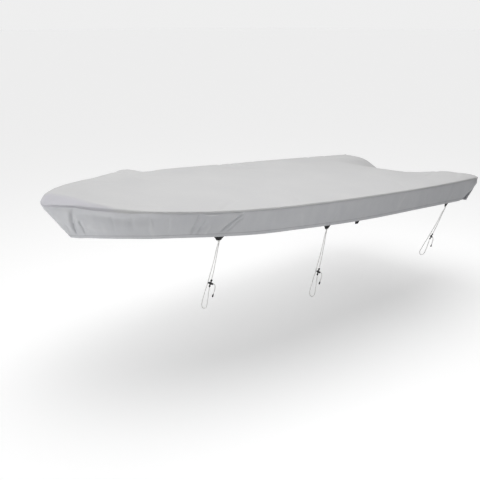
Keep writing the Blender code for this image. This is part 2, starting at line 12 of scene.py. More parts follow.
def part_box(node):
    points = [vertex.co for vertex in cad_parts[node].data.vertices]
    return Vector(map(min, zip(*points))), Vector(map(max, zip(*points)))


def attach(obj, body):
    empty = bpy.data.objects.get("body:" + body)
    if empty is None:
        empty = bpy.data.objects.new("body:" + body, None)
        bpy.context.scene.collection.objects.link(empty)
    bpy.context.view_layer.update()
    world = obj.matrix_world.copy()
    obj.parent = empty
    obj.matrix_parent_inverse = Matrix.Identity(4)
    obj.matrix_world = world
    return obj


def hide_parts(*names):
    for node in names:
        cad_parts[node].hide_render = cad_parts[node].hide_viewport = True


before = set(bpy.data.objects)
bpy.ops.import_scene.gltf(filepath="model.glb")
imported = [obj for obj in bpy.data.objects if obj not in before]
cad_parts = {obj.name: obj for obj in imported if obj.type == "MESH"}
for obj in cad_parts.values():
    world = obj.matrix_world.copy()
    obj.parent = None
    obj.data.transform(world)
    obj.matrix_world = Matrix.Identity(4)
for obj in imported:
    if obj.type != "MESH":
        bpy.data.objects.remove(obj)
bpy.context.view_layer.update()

# --- The room ------------------------------------------------------------------------------------
# A plain pale floor as far below the cover as the ground lies, under a broad overhead light and a large
# softbox, with two weaker ones low down, off the bow and off the port side. It is seen from off the
# port bow.


def add_object(name, data):
    """A new object of the scene that holds this camera, light or mesh."""
    added = bpy.data.objects.new(name, data)
    bpy.context.scene.collection.objects.link(added)
    return added


camera = add_object("camera", bpy.data.cameras.new("camera"))
camera.data.sensor_width = 36.0
camera.data.lens = 52.81
camera.data.clip_end = 600.0
camera.location = (-4.1736, -4.1814, 1.2945)
camera.rotation_euler = (math.radians(90 - 17.274), 0.0, math.radians(-42.83))
bpy.context.scene.camera = camera

GROUND = -1.2712            # height of the floor
FLOOR_HALF = 200.0
FLOOR_TONE = (0.60, 0.60, 0.60, 1)
FLOOR_GLOWS = (0.21, 0.46)  # on the cover, and as seen, which keeps the floor one even tone
floor_mesh = bmesh.new()
bmesh.ops.create_grid(floor_mesh, x_segments=1, y_segments=1, size=FLOOR_HALF)
bmesh.ops.translate(floor_mesh, verts=floor_mesh.verts, vec=(0, 0, GROUND))
floor = add_object("floor", bpy.data.meshes.new("floor"))
floor_mesh.to_mesh(floor.data)
floor_mesh.free()
paint = bpy.data.materials.new("floor_paint")
paint.use_nodes = True
paint_nodes, paint_links = paint.node_tree.nodes, paint.node_tree.links
paint_seen, paint_mix = paint_nodes.new("ShaderNodeLightPath"), paint_nodes.new("ShaderNodeMixShader")
paint_links.new(paint_seen.outputs["Is Camera Ray"], paint_mix.inputs["Fac"])
coats = paint_nodes["Principled BSDF"], paint_nodes.new("ShaderNodeBsdfPrincipled")
for coat, glow, mixed_in in zip(coats, FLOOR_GLOWS, (1, 2)):
    coat.inputs["Base Color"].default_value = FLOOR_TONE
    coat.inputs["Roughness"].default_value = 0.95
    coat.inputs["Specular IOR Level"].default_value = 0.0
    coat.inputs["Emission Color"].default_value = (1, 1, 1, 1)
    coat.inputs["Emission Strength"].default_value = glow
    paint_links.new(coat.outputs["BSDF"], paint_mix.inputs[mixed_in])
paint_links.new(paint_mix.outputs[0], paint_nodes["Material Output"].inputs["Surface"])
floor.data.materials.append(paint)

OVERHEAD = 2.24             # the broad light above, the angle over which it spreads and its lean
OVERHEAD_SPREAD = math.radians(90)
OVERHEAD_LEAN = math.radians(-25)
overhead = add_object("overhead", bpy.data.lights.new("overhead", "SUN"))
overhead.data.energy = OVERHEAD
overhead.data.angle = OVERHEAD_SPREAD
overhead.rotation_euler = (OVERHEAD_LEAN, 0, 0)

SOFTBOXES = (
    ("softbox_over", (0.0, -0.4, 3.8), (0.0, -0.4, 0.0), (5.0, 4.0), 108),
    ("softbox_bow", (-6.0, 0.8, -0.80), (-1.8, -0.1, 0.0), (2.4, 0.9), 68),
    ("softbox_port", (-1.2, -3.4, -0.3), (-0.4, -0.8, -0.1), (1.6, 1.0), 13),
)                           # name, place, what it is aimed at, its two sides, watts
for name, place, aim, sides, watts in SOFTBOXES:
    softbox = add_object(name, bpy.data.lights.new(name, "AREA"))
    softbox.data.shape = "RECTANGLE"
    softbox.data.size, softbox.data.size_y = sides
    softbox.data.energy = watts
    softbox.location = place
    softbox.rotation_euler = (Vector(aim) - Vector(place)).to_track_quat("-Z", "Y").to_euler()
    softbox.visible_camera = False

WALL_TONE = (0.86, 0.86, 0.86, 1)     # what is seen beyond the floor, as pale as its far end
world = bpy.data.worlds.new("room")
world.use_nodes = True
room_nodes, room_links = world.node_tree.nodes, world.node_tree.links
unlit, wall = room_nodes["Background"], room_nodes.new("ShaderNodeBackground")
unlit.inputs["Strength"].default_value = 0.0
wall.inputs["Color"].default_value = WALL_TONE
seen, either = room_nodes.new("ShaderNodeLightPath"), room_nodes.new("ShaderNodeMixShader")
room_links.new(seen.outputs["Is Camera Ray"], either.inputs["Fac"])
room_links.new(unlit.outputs[0], either.inputs[1])
room_links.new(wall.outputs[0], either.inputs[2])
room_links.new(either.outputs[0], room_nodes["World Output"].inputs["Surface"])
bpy.context.scene.world = world
bpy.context.scene.view_settings.view_transform = "Standard"

# --- The top panel ---------------------------------------------------------------------------------
# One cut of coated polyester cloth, stretched from rim to rim and rolled down over the rim, where it
# is sewn to the skirt. It sags low in the middle of the stern and bulges over what lies below.

MOUNT_STATION = 2.075       # stations are measured aft from the bow's line, and this is the mount's
CLOTH = 0.002               # thickness of the cloth
ROLL = 0.010                # radius with which it turns over the rim
CROWN = 0.012               # rise of the middle over the edges
CROWN_END = 0.05            # the rise dies out over this length at the stern
SEAM_GAP = 0.0003
FIRST_STATION = 0.012
LAST_STATION = 4.145
CORNER_RADIUS = 0.022       # of the rim at the stern
HEM_CORNER = 0.6            # share of that by which the hem is rounded there

# The roll is fuller at the shoulder of the bow: where, over what length, and by how much.
FULL_ROLL = (0.29, 0.15, 0.011)

# The narrow band below the roll, which widens at the shoulder of the bow: station, height of the band,
# and how far its seam with the skirt lies inboard.
RIM_BAND = (
    (0.012, 0.0050, -0.0045),
    (0.125, 0.0050, -0.0030),
    (0.210, 0.0145, 0.0010),
    (0.330, 0.0150, 0.0020),
    (0.500, 0.0045, 0.0015),
    (4.145, 0.0045, 0.0015),
)

# Station, half beam and height of the rim; station and half beam of the hem; depth down to it.
OUTLINE = (
    (0.012, 0.000, 0.126, 0.192, 0.000, 0.2625),
    (0.045, 0.098, 0.136, 0.232, 0.052, 0.275),
    (0.125, 0.207, 0.134, 0.260, 0.114, 0.264),
    (0.210, 0.312, 0.127, 0.312, 0.238, 0.244),
    (0.330, 0.440, 0.118, 0.398, 0.366, 0.226),
    (0.500, 0.566, 0.100, 0.548, 0.494, 0.210),
    (0.700, 0.667, 0.084, 0.733, 0.607, 0.200),
    (0.920, 0.746, 0.065, 0.940, 0.690, 0.198),
    (1.250, 0.822, 0.039, 1.262, 0.763, 0.203),
    (1.650, 0.868, 0.010, 1.656, 0.807, 0.205),
    (2.150, 0.889, -0.028, 2.152, 0.826, 0.213),
    (2.600, 0.890, -0.060, 2.600, 0.827, 0.216),
    (3.100, 0.888, -0.095, 3.098, 0.831, 0.209),
    (3.670, 0.866, -0.133, 3.652, 0.812, 0.212),
    (4.145, 0.826, -0.164, 4.060, 0.762, 0.224),
)

# Fall of the top at the stern, across it (y, fall), and where it begins.
DIP_START = 3.52
DIP_PROFILE = (
    (-0.830, 0.000), (-0.760, -0.012), (-0.600, -0.009), (-0.460, 0.004), (-0.325, 0.032),
    (-0.170, 0.060), (0.060, 0.091), (0.190, 0.106), (0.277, 0.112), (0.345, 0.098),
    (0.430, 0.060), (0.510, 0.024), (0.600, 0.005), (0.830, 0.000),
)

# Swellings and hollows: station, y, half length, half breadth, rise.
TOP_FORMS = (
    (1.175, 0.790, 0.150, 0.170, 0.036),
    (2.430, 0.620, 0.280, 0.170, -0.020),
    (0.230, 0.000, 0.150, 0.330, 0.014),
    (1.430, 0.840, 0.110, 0.160, -0.008),
    (0.960, 0.760, 0.120, 0.150, 0.010),
)

# Creases of the top: station and y of their two ends, half width, depth (a ridge is negative), and how
# many times wider the far side of the crease is than its near side.
TOP_CREASES = (
    (0.62, 0.560, 0.70, 0.330, 0.020, 0.0045, 1.6),
    (0.70, 0.600, 0.80, 0.420, 0.018, -0.0035, 1.4),
    (0.76, 0.640, 0.88, 0.520, 0.015, 0.0040, 1.8),
    (1.06, 0.760, 1.12, 0.500, 0.022, 0.0055, 1.7),
    (1.20, 0.780, 1.28, 0.560, 0.017, 0.0040, 1.3),
    (1.32, 0.800, 1.46, 0.610, 0.020, 0.0050, 2.0),
    (1.44, 0.820, 1.52, 0.700, 0.013, -0.0030, 1.0),
    (2.31, 0.860, 2.36, 0.480, 0.018, 0.0075, 3.2),
    (2.46, 0.865, 2.50, 0.640, 0.014, 0.0040, 2.2),
    (2.78, 0.860, 2.86, 0.600, 0.016, 0.0035, 1.6),
    (3.60, 0.840, 3.78, 0.480, 0.024, 0.0060, 1.5),
    (3.84, 0.800, 3.90, 0.430, 0.018, 0.0050, 1.8),
    (3.98, 0.760, 4.02, 0.420, 0.015, -0.0040, 1.2),
    (3.66, -0.300, 4.10, -0.130, 0.030, 0.0060, 1.6),
    (3.72, -0.560, 4.12, -0.410, 0.022, 0.0045, 1.4),
    (3.88, -0.760, 4.13, -0.640, 0.018, 0.0040, 1.7),
    (0.34, -0.300, 0.62, -0.420, 0.024, 0.0030, 1.5),
    (0.98, -0.700, 1.20, -0.560, 0.020, 0.0028, 1.5),
    (2.90, -0.860, 3.10, -0.640, 0.020, 0.0025, 1.4),
    (1.60, -0.860, 1.74, -0.660, 0.018, 0.0022, 1.6),
)

# Beyond its ends a crease dies out over this share of its length. Its line wavers by a share of its half
# width, and it opens from the first to the sum of both shares of its half width.
CREASE_LEAD = 0.35
CREASE_WAVER = 0.25
CREASE_OPENS = (0.8, 0.35)

# Slight unevenness of the top: height, waves to the metre, and a place in the random pattern. The taut
# cloth near the rim has only TAUT of the first two.
TOP_WAVES = (
    (0.0022, 2.6, (4.1, 1.7, 0.0)), (0.0011, 7.5, (0.3, 9.2, 2.0)),
)
TOP_RIPPLE = ((0.0004, 24, (2.2, 0.4, 6.0)),)
TAUT = 0.35

# The crest across the bow, forward of which the nose falls off as a flat facet: y and station. Below it,
# how far the facet's bend is softened, and how high and how broad behind the bend the cloth is raised.
NOSE_CREST = (
    (-0.500, 0.400), (-0.412, 0.335), (-0.334, 0.280), (-0.263, 0.242), (-0.172, 0.215),
    (-0.085, 0.198), (0.005, 0.180), (0.100, 0.152), (0.207, 0.126), (0.500, 0.100),
)
NOSE_SOFT = 0.012
NOSE_RAISED = (0.0045, 0.10)

# The nose's facet: its half breadth, and the steps in which it is measured over that.
NOSE_HALF = 0.46
NOSE_STEPS = 92
NOSE_END = 0.45             # station beyond which there is none of it


def eased(value):
    """Smooth step from 0 to 1 while value goes from 0 to 1."""
    value = min(1.0, max(0.0, value))
    return value * value * (3 - 2 * value)


def swell(distance):
    """1 at a distance of 0, dying away smoothly on both sides over about 1."""
    return math.exp(-distance * distance)


def smooth_between(share, low, high, slope_low, slope_high):
    """Value at a share of the way on a smooth curve from low to high with these slopes."""
    square, cube = share * share, share ** 3
    return ((2 * cube - 3 * square + 1) * low + (cube - 2 * square + share) * slope_low
            + (3 * square - 2 * cube) * high + (cube - square) * slope_high)


def uneven(place, waves):
    return sum(height * noise.noise(place * fineness + Vector(offset))
               for height, fineness, offset in waves)


def bow_measure(station):
    """Measure along the outline that stays even at the bow, where the edge runs straight across."""
    return math.sqrt(max(0.0, station - FIRST_STATION))


def outline_at(station):
    """Row of the outline at a station, on a smooth curve through the rows."""
    if station <= OUTLINE[0][0]:
        return OUTLINE[0]
    last = len(OUTLINE) - 2
    index = next((i for i in range(last + 1) if OUTLINE[i + 1][0] >= station), last)
    low, high = OUTLINE[index], OUTLINE[index + 1]
    before = OUTLINE[index - 1] if index else None
    after = OUTLINE[index + 2] if index < last else None
    span = bow_measure(high[0]) - bow_measure(low[0])
    share = (bow_measure(station) - bow_measure(low[0])) / span
    row = [station]
    for column in range(1, len(low)):
        rise = high[column] - low[column]
        slope_low = rise if before is None else (
            (high[column] - before[column]) * span / (bow_measure(high[0]) - bow_measure(before[0])))
        slope_high = rise if after is None else (
            (after[column] - low[column]) * span / (bow_measure(after[0]) - bow_measure(low[0])))
        row.append(smooth_between(share, low[column], high[column], slope_low, slope_high))
    return row


def roll_at(station):
    middle, reach, more = FULL_ROLL
    return ROLL + more * swell(((station - middle) / reach) ** 2)


def rim_band(station):
    """Height of the band at a station, and how far its seam lies inboard."""
    index = next((i for i, row in enumerate(RIM_BAND) if row[0] > station), len(RIM_BAND) - 1)
    low, high = RIM_BAND[index - 1:index + 1]
    share = eased((station - low[0]) / (high[0] - low[0]))
    face, tuck = [before + (after - before) * share for before, after in zip(low[1:], high[1:])]
    return max(0.003, face - roll_at(station) + ROLL), tuck


def dip(station, y):
    """Fall of the top towards the stern, on a smooth curve through its profile."""
    along = eased((station - DIP_START) / (LAST_STATION + CORNER_RADIUS - DIP_START))
    if not along or y <= DIP_PROFILE[0][0] or y >= DIP_PROFILE[-1][0]:
        return 0.0
    last = len(DIP_PROFILE) - 2
    index = next(i for i in range(last + 1) if DIP_PROFILE[i + 1][0] > y)
    (low_y, low), (high_y, high) = DIP_PROFILE[index:index + 2]
    before_y, before = DIP_PROFILE[max(index - 1, 0)]
    after_y, after = DIP_PROFILE[min(index + 2, last + 1)]
    span = high_y - low_y
    slope_in = (high - before) / (high_y - before_y) * span
    slope_out = (after - low) / (after_y - low_y) * span
    return along * smooth_between((y - low_y) / span, low, high, slope_in, slope_out)


def crease(x, y, row):
    """Depth at (x, y) of one crease, given by its two ends, half width, depth and far side's breadth."""
    start_x, start_y, end_x, end_y, half_width, depth, far = row
    run_x, run_y = end_x - start_x, end_y - start_y
    square = run_x * run_x + run_y * run_y
    share = ((x - start_x) * run_x + (y - start_y) * run_y) / square
    if not -CREASE_LEAD < share < 1 + CREASE_LEAD:
        return 0.0
    aside = ((x - start_x) * run_y - (y - start_y) * run_x) / math.sqrt(square)
    aside += CREASE_WAVER * half_width * math.sin(share * 7.0 + start_x * 31.0)
    narrow, opened = CREASE_OPENS
    reach = half_width * (far if aside < 0 else 1.0) * (narrow + opened * share)
    if abs(aside) > 3 * reach:
        return 0.0
    ends = eased((share + CREASE_LEAD) / CREASE_LEAD) * eased((1 + CREASE_LEAD - share) / CREASE_LEAD)
    return depth * ends * swell(aside / reach)


def top_form(station, y):
    """The large swellings and hollows of the top."""
    total = 0.0
    for middle, middle_y, half_length, half_breadth, rise in TOP_FORMS:
        reach = ((station - middle) / half_length) ** 2 + ((y - middle_y) / half_breadth) ** 2
        if reach < 16:
            total += rise * math.exp(-reach)
    return total


def nose_crest(y):
    """Station of the crest across the bow."""
    index = next((i for i, row in enumerate(NOSE_CREST) if row[0] > y), len(NOSE_CREST) - 1) or 1
    (low_y, low), (high_y, high) = NOSE_CREST[index - 1:index + 1]
    return low + (high - low) * min(1.0, max(0.0, (y - low_y) / (high_y - low_y)))


def nose_share(x, y):
    """How much a place belongs to the nose's facet: the mask of the facet's painted shade."""
    return eased((nose_crest(y) + 0.03 - x) / 0.08) * eased((NOSE_HALF - abs(y)) / 0.12)


def top_relief(station, y):
    """What the cloth adds to the large forms: a raised crest, creases and a slight unevenness."""
    total = -sum(crease(station, y, row) for row in TOP_CREASES)
    behind = station - nose_crest(y)
    if -0.1 < behind < 0.35:
        high, broad = NOSE_RAISED
        total += high * swell(behind / (broad if behind > 0 else 0.03)) * eased((0.42 - abs(y)) / 0.15)
    inboard = 1 - abs(y) / 0.9
    place = Vector((station, y, 0.0))
    slack = TAUT + (1 - TAUT) * eased(inboard / 0.25)
    return total + slack * uneven(place, TOP_WAVES) + uneven(place, TOP_RIPPLE)


# The port quarter stands out as a pinched ear: how far around it, how far out the rim stands, and how
# much further the skirt stands out below it and in again at the hem.
EAR_REACH = 0.10
EAR = (0.009, 0.021, -0.026)
EAR_TOWARDS = Vector((0.733, -0.680, 0.0))


class Edge:
    """A place on the cover's edge: its rim point, its hem point, which way is outboard, and its distance
    from the bow's tip along the rim. side is -1 to port and 1 to starboard."""

    def __init__(self, rim, hem, outward, along, side):
        self.rim, self.hem, self.outward = Vector(rim), Vector(hem), Vector(outward).normalized()
        self.along, self.side = along, side
        self.roll = roll_at(self.rim.x)
        away = math.hypot(self.rim.x - OUTLINE[-1][0], self.rim.y + OUTLINE[-1][1])
        self.ear = swell(away / EAR_REACH)

    def start(self):
        """Middle of the roll over the rim, from which the cloth turns down."""
        middle = self.rim.copy()
        x, y = middle.x, middle.y
        own_y = self.side * abs(y)
        middle.z += top_form(x, own_y) + top_relief(x, own_y) - self.roll
        middle.z -= dip(x, y if abs(self.outward.x) > 0.999 else -abs(y))
        return middle + EAR_TOWARDS * EAR[0] * self.ear

    def rolled(self, turn):
        """Point of the roll: a quarter turn from the top (pi/2) down to the rim's face (0)."""
        return (self.start() - self.outward * self.roll * (1 - math.cos(turn))
                + Vector((0, 0, self.roll * math.sin(turn))))

    def seam(self):
        face, tuck = rim_band(self.rim.x)
        return self.start() - self.outward * tuck - Vector((0, 0, face))

    def hang(self):
        """The seam, the way from it down to the hem, and which way the skirt faces."""
        seam = self.seam()
        fall = self.hem - seam
        facing = self.outward - fall * (self.outward.dot(fall) / fall.length_squared)
        return seam, fall, facing.normalized()


def side_edges(side, spacing, corner_steps=8):
    """Edges of one side, evenly spaced from the bow tip to the quarter, and round it to the stern."""
    fine = 1600             # steps in which the length is measured
    stations = [FIRST_STATION + (bow_measure(LAST_STATION) * n / fine) ** 2 for n in range(fine + 1)]
    rows = [outline_at(station) for station in stations]
    lengths = [0.0]
    for one, two in zip(rows, rows[1:]):
        lengths.append(lengths[-1] + math.dist(one[:3], two[:3]))
    count = round(lengths[-1] / spacing)
    edges, index = [], 0
    for n in range(count + 1):
        along = lengths[-1] * n / count
        while index < fine - 1 and lengths[index + 1] < along:
            index += 1
        share = (along - lengths[index]) / (lengths[index + 1] - lengths[index])
        station = stations[index] + (stations[index + 1] - stations[index]) * share
        station, beam, height, hem_station, hem_beam, depth = outline_at(station)
        one, two = rows[max(index - 1, 0)], rows[min(index + 2, fine)]
        outward = (-(two[1] - one[1]), side * (two[0] - one[0]), 0.0) if n else (-1, 0, 0)
        hem = (hem_station, side * hem_beam, height - depth)
        edges.append(Edge((station, side * beam, height), hem, outward, along, side))
    station, beam, height, hem_station, hem_beam, depth = OUTLINE[-1]
    heading = math.atan2(edges[-1].outward.x, side * edges[-1].outward.y)
    for step in range(1, corner_steps + 1):
        turn = math.pi / 2 * step / corner_steps
        aft, inboard = CORNER_RADIUS * math.sin(turn), CORNER_RADIUS * (1 - math.cos(turn))
        facing = heading + (math.pi / 2 - heading) * step / corner_steps
        edges.append(Edge((station + aft, side * (beam - inboard), height),
                          (hem_station + CORNER_RADIUS - (CORNER_RADIUS - aft) * HEM_CORNER,
                           side * (hem_beam - inboard * HEM_CORNER), height - depth),
                          (math.sin(facing), side * math.cos(facing), 0),
                          edges[-1].along + CORNER_RADIUS * math.pi / 2 / corner_steps, side))
    edges[-1].outward = Vector((1, 0, 0))
    return edges


# The low arch in the skirt across the stern: half its breadth at the top and at the foot, and the depth
# of cloth over it.
ARCH_HALF = 0.30
ARCH_FOOT = 0.42
ARCH_DEPTH = 0.085


def stern_edge(y, along):
    _, _, height, hem_station, _, depth = OUTLINE[-1]
    arch = eased((ARCH_FOOT - abs(y)) / (ARCH_FOOT - ARCH_HALF))
    fall = dip(LAST_STATION + CORNER_RADIUS, y)
    hem_height = (height - depth) * (1 - arch) + (height - fall - ARCH_DEPTH) * arch
    rake = (LAST_STATION - hem_station) / depth
    hem = (LAST_STATION + CORNER_RADIUS - rake * (height - hem_height - fall * arch), y, hem_height)
    return Edge((LAST_STATION + CORNER_RADIUS, y, height), hem, (1, 0, 0), along, 1 if y > 0 else -1)


def across_share(n, count):
    """Even steps across the cover, drawn closer together towards its two sides."""
    share = 2 * n / count - 1
    return share * (1.25 - 0.25 * share * share)


# The underside of the top's middle, at the mount's station, comes to the origin.
AT_MOUNT = Vector((-MOUNT_STATION, 0, CLOTH - outline_at(MOUNT_STATION)[2] - CROWN
                   - top_form(MOUNT_STATION, 0)))

CLOTH_LAYERS = ("from_seam", "from_fold", "painted_shade_and_highlight")


def lay_cloth(cloth, columns, rows, place, cut, marks):
    """Lay a flat grid of cloth so that each crossing of it goes where place(column, row) says. Row 0
    is the upper or starboard edge. cut gives the crossing's place on the flat cut, and marks its distance
    from the seam and from the hem's fold, which the stitching follows, and its mask of painted light: on
    a skirt the depth of a crease, painted in shade, with a ridge as a negative depth, painted with a
    highlight; on the top its share of the nose's facet, painted in shade."""
    for layer in CLOTH_LAYERS:
        if layer not in cloth.verts.layers.float:
            cloth.verts.layers.float.new(layer)
    cloth.loops.layers.uv.verify()
    grid = bmesh.ops.create_grid(cloth, x_segments=columns, y_segments=rows, size=1.0)["verts"]
    flat = cloth.loops.layers.uv.verify()
    layers = [cloth.verts.layers.float[layer] for layer in CLOTH_LAYERS]
    crossings = {vert: (round((vert.co.x + 1) / 2 * columns), round((1 - vert.co.y) / 2 * rows))
                 for vert in grid}
    for vert, crossing in crossings.items():
        for loop in vert.link_loops:
            loop[flat].uv = cut(*crossing)
    for vert, crossing in crossings.items():
        vert.co = place(*crossing) + AT_MOUNT
        for layer, value in zip(layers, marks(*crossing)):
            vert[layer] = value


def finish_piece(name, mesh, material, replaced, thickness=0.0):
    """The mesh as a piece of the part: its thickness, its finish and what it stands for."""
    piece = add_object(name, bpy.data.meshes.new(name))
    mesh.to_mesh(piece.data)
    mesh.free()
    piece.data.shade_smooth()
    piece.data.materials.append(material)
    if thickness:
        wall = piece.modifiers.new("thickness", "SOLIDIFY")
        wall.thickness, wall.offset = thickness, -1
    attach(piece, "root")
    if replaced:
        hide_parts(replaced)
    return piece


class Dye:
    """A socket in a finish. Arithmetic on it adds Math nodes."""

    def __init__(self, finish, socket):
        self.finish, self.socket = finish, socket

    def maths(self, operation, one, two=0.0):
        return self.finish.node("Math", {"operation": operation}, {0: one, 1: two})

    def __add__(self, other):
        return self.maths("ADD", self, other)

    def __radd__(self, other):
        return self.maths("ADD", other, self)

    def __sub__(self, other):
        return self.maths("SUBTRACT", self, other)

    def __rsub__(self, other):
        return self.maths("SUBTRACT", other, self)

    def __mul__(self, other):
        return self.maths("MULTIPLY", self, other)

    def __rmul__(self, other):
        return self.maths("MULTIPLY", other, self)

    def __truediv__(self, other):
        return self.maths("DIVIDE", self, other)

    def __rtruediv__(self, other):
        return self.maths("DIVIDE", other, self)

    def wave(self, length):
        """Sine of this distance, with waves of that length."""
        return self.maths("SINE", self * (2 * math.pi / length))

    def size(self):
        return self.maths("ABSOLUTE", self)

    def fraction(self):
        return self.maths("FRACT", self)


class Finish:
    """One material. shade() sets or links the shader's sockets, and node() adds any other node."""

    def __init__(self, name):
        self.material = bpy.data.materials.new(name)
        self.material.use_nodes = True
        self.tree = self.material.node_tree
        self.shader = self.tree.nodes["Principled BSDF"]
        self.where = self.node("TexCoord", {}, {}, "Object")

    def put(self, socket, value):
        if isinstance(value, Dye):
            self.tree.links.new(value.socket, socket)
        else:
            socket.default_value = value

    def node(self, kind, settings, sockets, output=0):
        added = self.tree.nodes.new("ShaderNode" + kind)
        for name, value in settings.items():
            setattr(added, name, value)
        for key, value in sockets.items():
            self.put(added.inputs[key], value)
        return Dye(self, added.outputs[output])

    def shade(self, **sockets):
        for name, value in sockets.items():
            self.put(self.shader.inputs[name.replace("_", " ")], value)

    def cut(self):
        """Place on the flat cut: along it and down it."""
        along = self.node("SeparateXYZ", {}, {0: self.node("UVMap", {"uv_map": "UVMap"}, {})})
        return along, Dye(self, along.socket.node.outputs["Y"])

    def cloudy(self, scale, detail=2.0, roughness=0.5, vector=None):
        return self.node("TexNoise", {}, {"Vector": vector or self.where, "Scale": scale,
                                          "Detail": detail, "Roughness": roughness})

    def clamped(self, value):
        return self.node("Clamp", {}, {"Value": value})

    def band(self, value, middle, half, soft):
        """1 where value lies within half of middle, falling to 0 over soft."""
        return self.node("MapRange", {"interpolation_type": "SMOOTHSTEP"},
                         {"Value": (value - middle).size(), "From Min": half + soft, "From Max": half,
                          "To Min": 0.0, "To Max": 1.0})

    def mixed(self, share, one, two):
        return self.node("Mix", {"data_type": "RGBA"}, {0: share, 6: one, 7: two}, 2)

    def bumped(self, strength, distance, height):
        return self.node("Bump", {}, {"Strength": strength, "Distance": distance, "Height": height})


BLOTCHES = (2.4, 4.0, 0.55)           # scale, detail and roughness of the cloth's uneven tones
SPECKS = (38.0, 3.0, 0.6)
STREAKS = (17.0, 2.0, 0.5)
STREAK_STRETCH = (1.0, 1.0, 0.14)
TONES = (0.9, 0.30, 0.95)   # how much each of the three adds
TOP_COLOURS = ((0.545, 0.545, 0.553, 1), (0.622, 0.620, 0.616, 1))
# painted shade of the nose's facet, cooler and darker than the top's cloth
FACET_PAINTED_SHADE = (0.520, 0.513, 0.558, 1)
SKIRT_COLOURS = ((0.536, 0.543, 0.568, 1), (0.610, 0.617, 0.632, 1))
# painted shade along the seam, under the roll over the rim
SEAM_PAINTED_SHADE = (0.235, 0.238, 0.250, 1)
# painted shade in the skirt's creases
CREASE_PAINTED_SHADE = (0.27, 0.275, 0.30, 1)
# painted highlight on the skirt's ridges
RIDGE_PAINTED_HIGHLIGHT = (0.80, 0.80, 0.79, 1)
FOLD_SHADE = (0.30, 0.30, 0.315, 1)
LOCKSTITCH = (0.72, 0.72, 0.71, 1)
LOCKSTITCH_STEP = 0.0046    # from one stitch to the next
LOCKSTITCH_ROW = (0.0006, 0.0005)     # half breadth of a row of stitches, and how softly it ends
SEAM_ROWS = (0.0042, 0.0100)          # distance of the two rows from the seam
HEM_ROW = 0.0035            # and of the hem's row from its fold
YARNS = 0.0012              # breadth of two yarns of the weave
WEAVE_HIGH, SPECK_HIGH, STITCH_HIGH, SEAM_DEEP = 0.00009, 0.0007, 0.0007, 0.0005
PUCKERED = (0.0010, 0.00015)          # height of the puckers at the stitches and elsewhere
# how strongly the painted shade along the seam, and the sinking of its stitches, grow along X towards the
# stern
SEAM_SHADE_AND_SINK = {"From Min": -1.95, "From Max": -1.15, "To Min": 0.10, "To Max": 0.50}   # along X


def cover_cloth(name, hemmed):
    """Pale grey coated polyester: plain weave, faint blotches from the weather, painted shade along the
    seam and two rows of lockstitch. The top has a cooler, darker painted shade on the nose's facet. A
    hemmed strip has streaks, painted shade in its creases, a painted highlight on its ridges, painted
    shade in the hem's fold, and the hem's row of stitches."""
    finish = Finish(name)
    along, down = finish.cut()
    # The third layer is the mask of painted light: on the top the share of the nose's facet, on a skirt
    # the depth of its creases and ridges.
    seam, fold, creases = (finish.node("Attribute", {"attribute_name": layer}, {}, "Fac")
                           for layer in CLOTH_LAYERS)
    blotch, speck = finish.cloudy(*BLOTCHES), finish.cloudy(*SPECKS)
    tone = (blotch - 0.5) * TONES[0] + (speck - 0.5) * TONES[1]
    if hemmed:
        stretched = finish.node("Mapping", {}, {"Vector": finish.where, "Scale": STREAK_STRETCH})
        tone = tone + (finish.cloudy(*STREAKS, stretched) - 0.5) * TONES[2]
    cloth = finish.mixed(finish.clamped(tone + 0.5), *(SKIRT_COLOURS if hemmed else TOP_COLOURS))
    if not hemmed:
        # Painted shade: on the top the third layer is the share of the nose's facet, which falls off
        # towards the bow and is made cooler and darker.
        cloth = finish.mixed(creases * 0.75, cloth, FACET_PAINTED_SHADE)

    # The stitches: two rows along the seam and, on a skirt, one over the hem's fold.
    dash = finish.band((along / LOCKSTITCH_STEP).fraction(), 0.5, 0.27, 0.12)
    rows = (finish.band(seam, SEAM_ROWS[0], *LOCKSTITCH_ROW)
            + finish.band(seam, SEAM_ROWS[1], *LOCKSTITCH_ROW))
    if hemmed:
        rows = rows + finish.band(fold, HEM_ROW, *LOCKSTITCH_ROW)
    stitches = finish.clamped(rows * dash)
    station = finish.node("SeparateXYZ", {}, {0: finish.where})
    aft = finish.node("MapRange", {}, {"Value": station, **SEAM_SHADE_AND_SINK})
    # Painted shade: a dark line on both sides of the seam, where the roll over the rim shades it, fainter
    # at the bow.
    cloth = finish.mixed(finish.band(seam, 0.0, 0.0012, 0.0045) * aft, cloth, SEAM_PAINTED_SHADE)
    if hemmed:
        # Painted shade in a skirt's creases, where they lie deepest.
        cloth = finish.mixed(finish.clamped((creases - 0.0015) * 95.0) * 0.34, cloth, CREASE_PAINTED_SHADE)
        # Painted highlight on a skirt's ridges, where the depth is negative.
        cloth = finish.mixed(finish.clamped(creases * -220.0) * 0.45, cloth, RIDGE_PAINTED_HIGHLIGHT)
        cloth = finish.mixed(finish.band(fold, 0.0020, 0.0016, 0.0032) * 0.42, cloth, FOLD_SHADE)
    cloth = finish.mixed(stitches * 0.55, cloth, LOCKSTITCH)

    weave = along.wave(YARNS) * down.wave(YARNS)
    sunk = finish.clamped(rows) * aft * 2.0
    pucker = finish.cloudy(90.0) * (sunk * PUCKERED[0] + PUCKERED[1])
    height = weave * WEAVE_HIGH + speck * SPECK_HIGH + pucker - sunk * SEAM_DEEP
    height = height + stitches * STITCH_HIGH
    rough = finish.clamped(0.70 + (blotch - 0.5) * 0.20 - stitches * 0.15)
    finish.shade(Base_Color=cloth, Roughness=rough, Normal=finish.bumped(0.8, 1.0, height),
                 Specular_IOR_Level=0.30, Sheen_Weight=0.10, Sheen_Roughness=0.5)
    return finish.material


